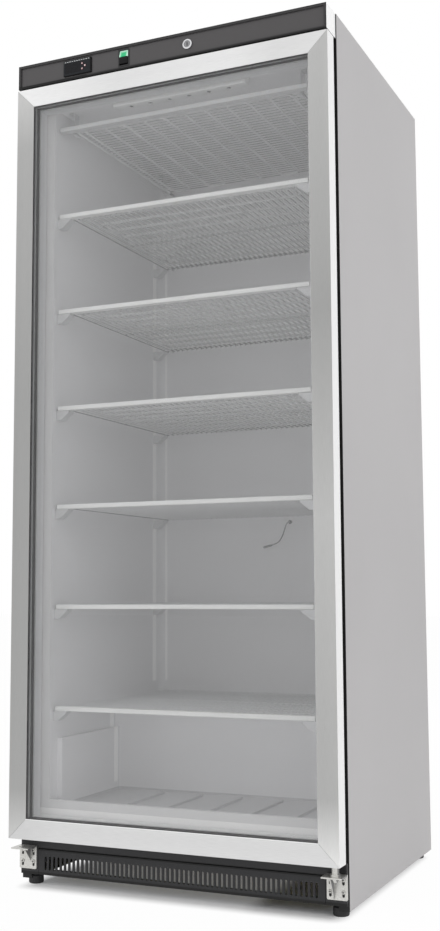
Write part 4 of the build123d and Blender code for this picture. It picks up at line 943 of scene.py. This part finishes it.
def makeRocker():
    low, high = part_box("switch_rocker")
    lowShell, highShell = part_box("canopy_shell")
    depth = cadBox[0].y + rockerSetup["pivotDepth"]
    pivot = Vector(((low.x + high.x) / 2, depth, (lowShell.z + highShell.z) / 2))
    tilt = Quaternion((1, 0, 0), math.radians(rockerSetup["angle"]))
    half, face, width = rockerSetup["half"], rockerSetup["face"], rockerSetup["width"] / 2
    back, backEnd, gap = rockerSetup["back"], rockerSetup["backEnd"], rockerSetup["gap"]
    rise = half * math.tan(math.radians(abs(rockerSetup["angle"])))
    top = [
        (-face, half), (-face - rise, gap), (back, gap), (back, half * rockerSetup["flat"]), (backEnd, half)]
    foot = [(y, -z) for y, z in reversed(top)]
    for name, outline, finish in (("rockerTop", top, "rockerLens"), ("rockerFoot", foot, "rockerBlack")):
        mesh = bmesh.new()
        ends = []
        for side in (-width, width):
            ends.append([mesh.verts.new(pivot + tilt @ Vector((side, y, z))) for y, z in outline])
        bridge(mesh, *ends)
        for end in ends:
            mesh.faces.new(end)
        bmesh.ops.bevel(
            mesh, geom=list(mesh.edges), offset=rockerSetup["round"], segments=3, profile=0.5, affect="EDGES")
        covers = ["switch_rocker"] if name == "rockerTop" else []
        finishPiece(name, mesh, "rocker", finish, covers)
    mesh = bmesh.new()
    stud = Vector((width + rockerSetup["pinEnd"], 0, 0))
    addTube(mesh, [pivot - stud, pivot + stud], rockerSetup["pinRadius"], 16)
    finishPiece("rockerPin", mesh, "rocker", "rockerBlack")


makeRocker()
print("rocker made")


# keys
keySetup = {
    "mark": 0.0023,  # half size of a mark
    "sunk": 0.00015,  # from the mark's face to the cap's
    "rim": 0.93,  # share of the radius where the cap's edge ends
    # body that the key rides on, and its mark's corners in half sizes
    "keys": {
        "key_up": ("up_key", [(-0.9, -0.7), (0.9, -0.7), (0, 0.9)]),
        "key_down": ("down_key", [(-0.9, 0.7), (0, -0.9), (0.9, 0.7)]),
        "key_set": ("set_key", [(-0.7, -0.7), (0.7, -0.7), (0.7, 0.7), (-0.7, 0.7)]),
    },
}


def makeKey(node, body, corners):
    low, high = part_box(node)
    middle = Vector(((low.x + high.x) / 2, low.y, (low.z + high.z) / 2))
    radius, long, sunk = (high.x - low.x) / 2, high.y - low.y, keySetup["sunk"]
    mesh = bmesh.new()
    profile = [
        (radius, 0), (radius, long - 4 * sunk), (radius * keySetup["rim"], long - 2 * sunk), (0, long - sunk)]
    spin(mesh, profile, (middle.x, high.y, middle.z), (0, -1, 0))
    finishPiece(f"{node}_cap", mesh, body, "keyPlastic", [node])
    mesh = bmesh.new()
    front = [mesh.verts.new(middle + Vector((x, 0, z)) * keySetup["mark"]) for x, z in corners]
    back = [mesh.verts.new(vert.co + Vector((0, 2 * sunk, 0))) for vert in front]
    bridge(mesh, front, back)
    mesh.faces.new(front)
    mesh.faces.new(back)
    finishPiece(f"{node}_mark", mesh, body, "keyMark")


for node, (body, corners) in keySetup["keys"].items():
    makeKey(node, body, corners)
print("keys made")


# screws and nut of the hinges
screwSetup = {
    "columns": (0.0085, 0.0365),  # from each side of the cabinet
    "rows": (0.0535, 0.0775),
    "head": 0.0040,
    "tall": 0.0025,
    # shares of the head's radius and of its height, from the edge to the middle
    "dome": [(1, 0), (1, 0.35), (0.93, 0.7), (0.75, 0.93), (0.5, 1), (0, 1)],
    "sides": 28,
    "shank": 0.0025,
    "shankLength": 0.0031,
    "seat": -0.3092,  # underside of the heads
    "slot": (0.0050, 0.0013),  # cross recess
    "slotDepth": 0.55,  # share of the head's height
    "cutFrom": 0.001,  # the cutter starts this far before the head
}


def headProfile(setup):
    return [(setup["head"] * share, setup["tall"] * rise) for share, rise in setup["dome"]]


def cutCross(piece, spots):
    # a cross recess at each spot, by boolean
    long, wide = (size / 2 for size in screwSetup["slot"])
    depth = screwSetup["tall"] * screwSetup["slotDepth"]
    mesh = bmesh.new()
    for spot in spots:
        for across, upward in ((long, wide), (wide, long)):
            low = spot - Vector((across, screwSetup["cutFrom"], upward))
            addBlock(mesh, low, spot + Vector((across, depth, upward)))
    data = bpy.data.meshes.new("crossCutter")
    mesh.to_mesh(data)
    mesh.free()
    # the cut faces take that painted shade
    data.materials.append(finishes["recess"])
    cutter = bpy.data.objects.new("crossCutter", data)
    bpy.context.scene.collection.objects.link(cutter)
    cut = piece.modifiers.new("cross", "BOOLEAN")
    cut.operation, cut.object, cut.solver = "DIFFERENCE", cutter, "EXACT"
    cut.use_self = True
    cut.material_mode = "TRANSFER"
    shaped = bpy.data.meshes.new_from_object(piece.evaluated_get(bpy.context.evaluated_depsgraph_get()))
    piece.modifiers.remove(cut)
    piece.data = shaped
    bpy.data.objects.remove(cutter)


def makeScrews():
    tall, shank = Vector((0, screwSetup["tall"], 0)), Vector((0, screwSetup["shankLength"], 0))
    spots = [
        Vector((side * (-cadBox[0].x - column), screwSetup["seat"], row))
        for side in (-1, 1) for column in screwSetup["columns"] for row in screwSetup["rows"]]
    mesh = bmesh.new()
    for spot in spots:
        spin(mesh, headProfile(screwSetup), spot, (0, -1, 0), screwSetup["sides"])
    piece = finishPiece("bracketScrews", mesh, "cabinet", "zincSteel", ["hinge_fasteners"])
    cutCross(piece, [spot - tall for spot in spots])
    mesh = bmesh.new()
    for spot in spots:
        addTube(mesh, [spot, spot + shank], screwSetup["shank"], 16)
    finishPiece("screwShanks", mesh, "cabinet", "zincSteel")


makeScrews()

nutSetup = {
    "radius": 0.0070,
    "bore": 0.00405,
    "low": 0.0798,
    "high": 0.0848,
    "lip": 0.0008,  # width of the flat ring round the bore
    "face": 0.87,  # share of the radius where the end's chamfer starts
    "chamfer": 0.0006,
    "sides": 36,  # six flats of six faces each
}


def nutRing(mesh, centre, reach, flats=False):
    ring = []
    for n in range(nutSetup["sides"]):
        turn = 2 * math.pi * n / nutSetup["sides"]
        out = reach
        if flats:
            out *= math.cos(math.pi / 6) / math.cos(turn % (math.pi / 3) - math.pi / 6)
        ring.append(mesh.verts.new(centre + Vector((math.cos(turn) * out, math.sin(turn) * out, 0))))
    return ring


def makeNut():
    low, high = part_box("lower_hinge_pin")
    bore, radius = nutSetup["bore"], nutSetup["radius"]
    reaches = (bore, bore + nutSetup["lip"], radius * nutSetup["face"])
    mesh = bmesh.new()
    rings = []
    for z, chamfer in ((nutSetup["low"], nutSetup["chamfer"]), (nutSetup["high"], -nutSetup["chamfer"])):
        end = Vector(((low.x + high.x) / 2, (low.y + high.y) / 2, z))
        side = [nutRing(mesh, end, reach) for reach in reaches]
        side.append(nutRing(mesh, end + Vector((0, 0, chamfer)), radius, True))
        rings += side if chamfer > 0 else reversed(side)
    for first, second in zip(rings, rings[1:] + rings[:1]):
        bridge(mesh, first, second)
    finishPiece("hingeNut", mesh, "cabinet", "zincSteel", sharp=25)


makeNut()
print("hinge fasteners made")


# feet
footSetup = {
    "profile": [
        (0, 0), (0.0138, 0), (0.0158, 0.0008), (0.0168, 0.0026), (0.0170, 0.0050), (0.0166, 0.0150),
        (0.0160, 0.0176), (0.0146, 0.0188), (0.0110, 0.0190), (0.0110, 0.0205), (0.0150, 0.0206),
        (0.0150, 0.0249), (0, 0.0249)],
    "radius": 0.0170,  # the widest of them
    "ridges": 24,
    "ridgeDepth": 0.0005,
    "ridgeHeights": (0.004, 0.016),
}


def makeFeet():
    low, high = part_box("levelling_feet")
    radius, (lowest, highest) = footSetup["radius"], footSetup["ridgeHeights"]
    mesh = bmesh.new()
    for x in (low.x + radius, high.x - radius):
        for y in (low.y + radius, high.y - radius):
            before = len(mesh.verts)
            spin(mesh, footSetup["profile"], (x, y, low.z), (0, 0, 1), footSetup["ridges"] * 4)
            mesh.verts.ensure_lookup_table()
            for vert in mesh.verts[before:]:
                out = Vector((vert.co.x - x, vert.co.y - y, 0))
                if lowest < vert.co.z - low.z < highest:
                    turn = math.atan2(out.y, out.x) * footSetup["ridges"]
                    vert.co -= out.normalized() * footSetup["ridgeDepth"] * (0.5 + 0.5 * math.cos(turn))
    finishPiece("roundFeet", mesh, "cabinet", "footRubber", ["levelling_feet"])


makeFeet()
print("feet made")


# rear screws
rearSetup = {
    "head": 0.0045,
    "tall": 0.0018,
    "dome": [(1, 0), (1, 0.4), (0.85, 0.8), (0.5, 1), (0, 1)],
    "sides": 20,
    "inset": 0.012,
    "seat": 0.0001,  # behind the sheet
    "rows": (0.040, 0.160, 0.280, 0.600, 1.000, 1.400, 1.860),
}


def makeRearScrews():
    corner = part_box("back_panel")[1]
    mesh = bmesh.new()
    for side in (-1, 1):
        for row in rearSetup["rows"]:
            spot = (side * (corner.x - rearSetup["inset"]), corner.y + rearSetup["seat"], row)
            spin(mesh, headProfile(rearSetup), spot, (0, 1, 0), rearSetup["sides"])
    finishPiece("rearScrews", mesh, "cabinet", "zincSteel")


makeRearScrews()
print("rear screws made")


# studio
studioSetup = {
    "floorTone": tone(250, 250, 250),
    "floorSize": 30,
    "footprint": (0.350, 0.306),  # half sizes of the darkest part, under the cabinet
    "fadeTo": 0.043,  # how far from it the floor has turned white
    "least": 0.12,  # painted light: white glow kept in the darkest part, under the cabinet
    "darker": (0.15, 0.19),  # across, where that painted light goes down to none on the right
    "most": 0.97,  # the rest of the floor keeps a faint shadow
    "ambient": 0.62,
    "mirrored": 1.0,
    # place, size, power
    "lamps": {
        "keyLamp": ((-2.6, -4.2, 3.4), 2.6, 60.0),
        "fillLamp": ((4.2, -1.6, 1.6), 2.6, 42.0),
        "rearLamp": ((0.5, 3.5, 3.6), 2.5, 40.0),
    },
    "aim": (0.0, 0.0, 0.95),
    "bounces": 32,  # through three panes, in and out
}


def seenDirectly(tree):
    # 1 for what the camera sees, also in metal and through glass
    path = tree.nodes.new("ShaderNodeLightPath")
    seen = path.outputs["Is Camera Ray"]
    for kind in ("Is Glossy Ray", "Is Transmission Ray"):
        seen = calculate(tree, "MAXIMUM", seen, path.outputs[kind])
    return seen


def distanceFrom(tree, footprint):
    # how far a place lies outside a rectangle round the origin
    place = tree.nodes.new("ShaderNodeTexCoord").outputs["Object"]
    steps = {"ABSOLUTE": (0, 0, 0), "SUBTRACT": (*footprint, 0), "MAXIMUM": (0, 0, 0), "LENGTH": (0, 0, 0)}
    for kind, other in steps.items():
        step = tree.nodes.new("ShaderNodeVectorMath")
        step.operation = kind
        step.inputs[1].default_value = other
        tree.links.new(place, step.inputs[0])
        place = step.outputs["Value" if kind == "LENGTH" else "Vector"]
    return place


def makeFloor():
    mesh = bmesh.new()
    bmesh.ops.create_grid(mesh, x_segments=8, y_segments=8, size=studioSetup["floorSize"])
    data = bpy.data.meshes.new("floor")
    mesh.to_mesh(data)
    mesh.free()
    floor = bpy.data.objects.new("floor", data)
    bpy.context.scene.collection.objects.link(floor)
    mat, tree, shader = startMaterial("studioFloor")
    tree.nodes.remove(shader)
    matt = tree.nodes.new("ShaderNodeBsdfDiffuse")
    matt.inputs["Color"].default_value = studioSetup["floorTone"]
    plain = tree.nodes.new("ShaderNodeEmission")
    plain.inputs["Color"].default_value = (1, 1, 1, 1)
    away = distanceFrom(tree, studioSetup["footprint"])
    # painted light under the cabinet, going down to none towards the right
    least = valueBetween(tree, placeAlong(tree, "X"), studioSetup["least"], 0, *studioSetup["darker"])
    white = valueBetween(tree, away, least, studioSetup["most"], 0, studioSetup["fadeTo"])
    mixShaders(tree, calculate(tree, "MULTIPLY", white, seenDirectly(tree)), matt, plain)
    data.materials.append(mat)


def makeWorld():
    world = bpy.data.worlds.new("studio")
    bpy.context.scene.world = world
    world.use_nodes = True
    tree = world.node_tree
    plain = tree.nodes["Background"]
    plain.inputs["Color"].default_value = (1, 1, 1, 1)
    level = valueBetween(tree, seenDirectly(tree), studioSetup["ambient"], studioSetup["mirrored"], 0, 1)
    tree.links.new(level, plain.inputs["Strength"])


def makeLamp(name, spot, size, power):
    lamp = bpy.data.objects.new(name, bpy.data.lights.new(name, "AREA"))
    lamp.data.size = size
    lamp.data.energy = power
    lamp.location = spot
    lamp.visible_glossy = False  # the glass would show it as a white sheet
    way = Vector(studioSetup["aim"]) - Vector(spot)
    lamp.rotation_mode = "QUATERNION"
    lamp.rotation_quaternion = way.to_track_quat("-Z", "Y")
    bpy.context.scene.collection.objects.link(lamp)


makeFloor()
makeWorld()
for name, setup in studioSetup["lamps"].items():
    makeLamp(name, *setup)
bpy.context.scene.view_settings.view_transform = "Standard"
bpy.context.scene.cycles.transparent_max_bounces = studioSetup["bounces"]
print("studio lit")
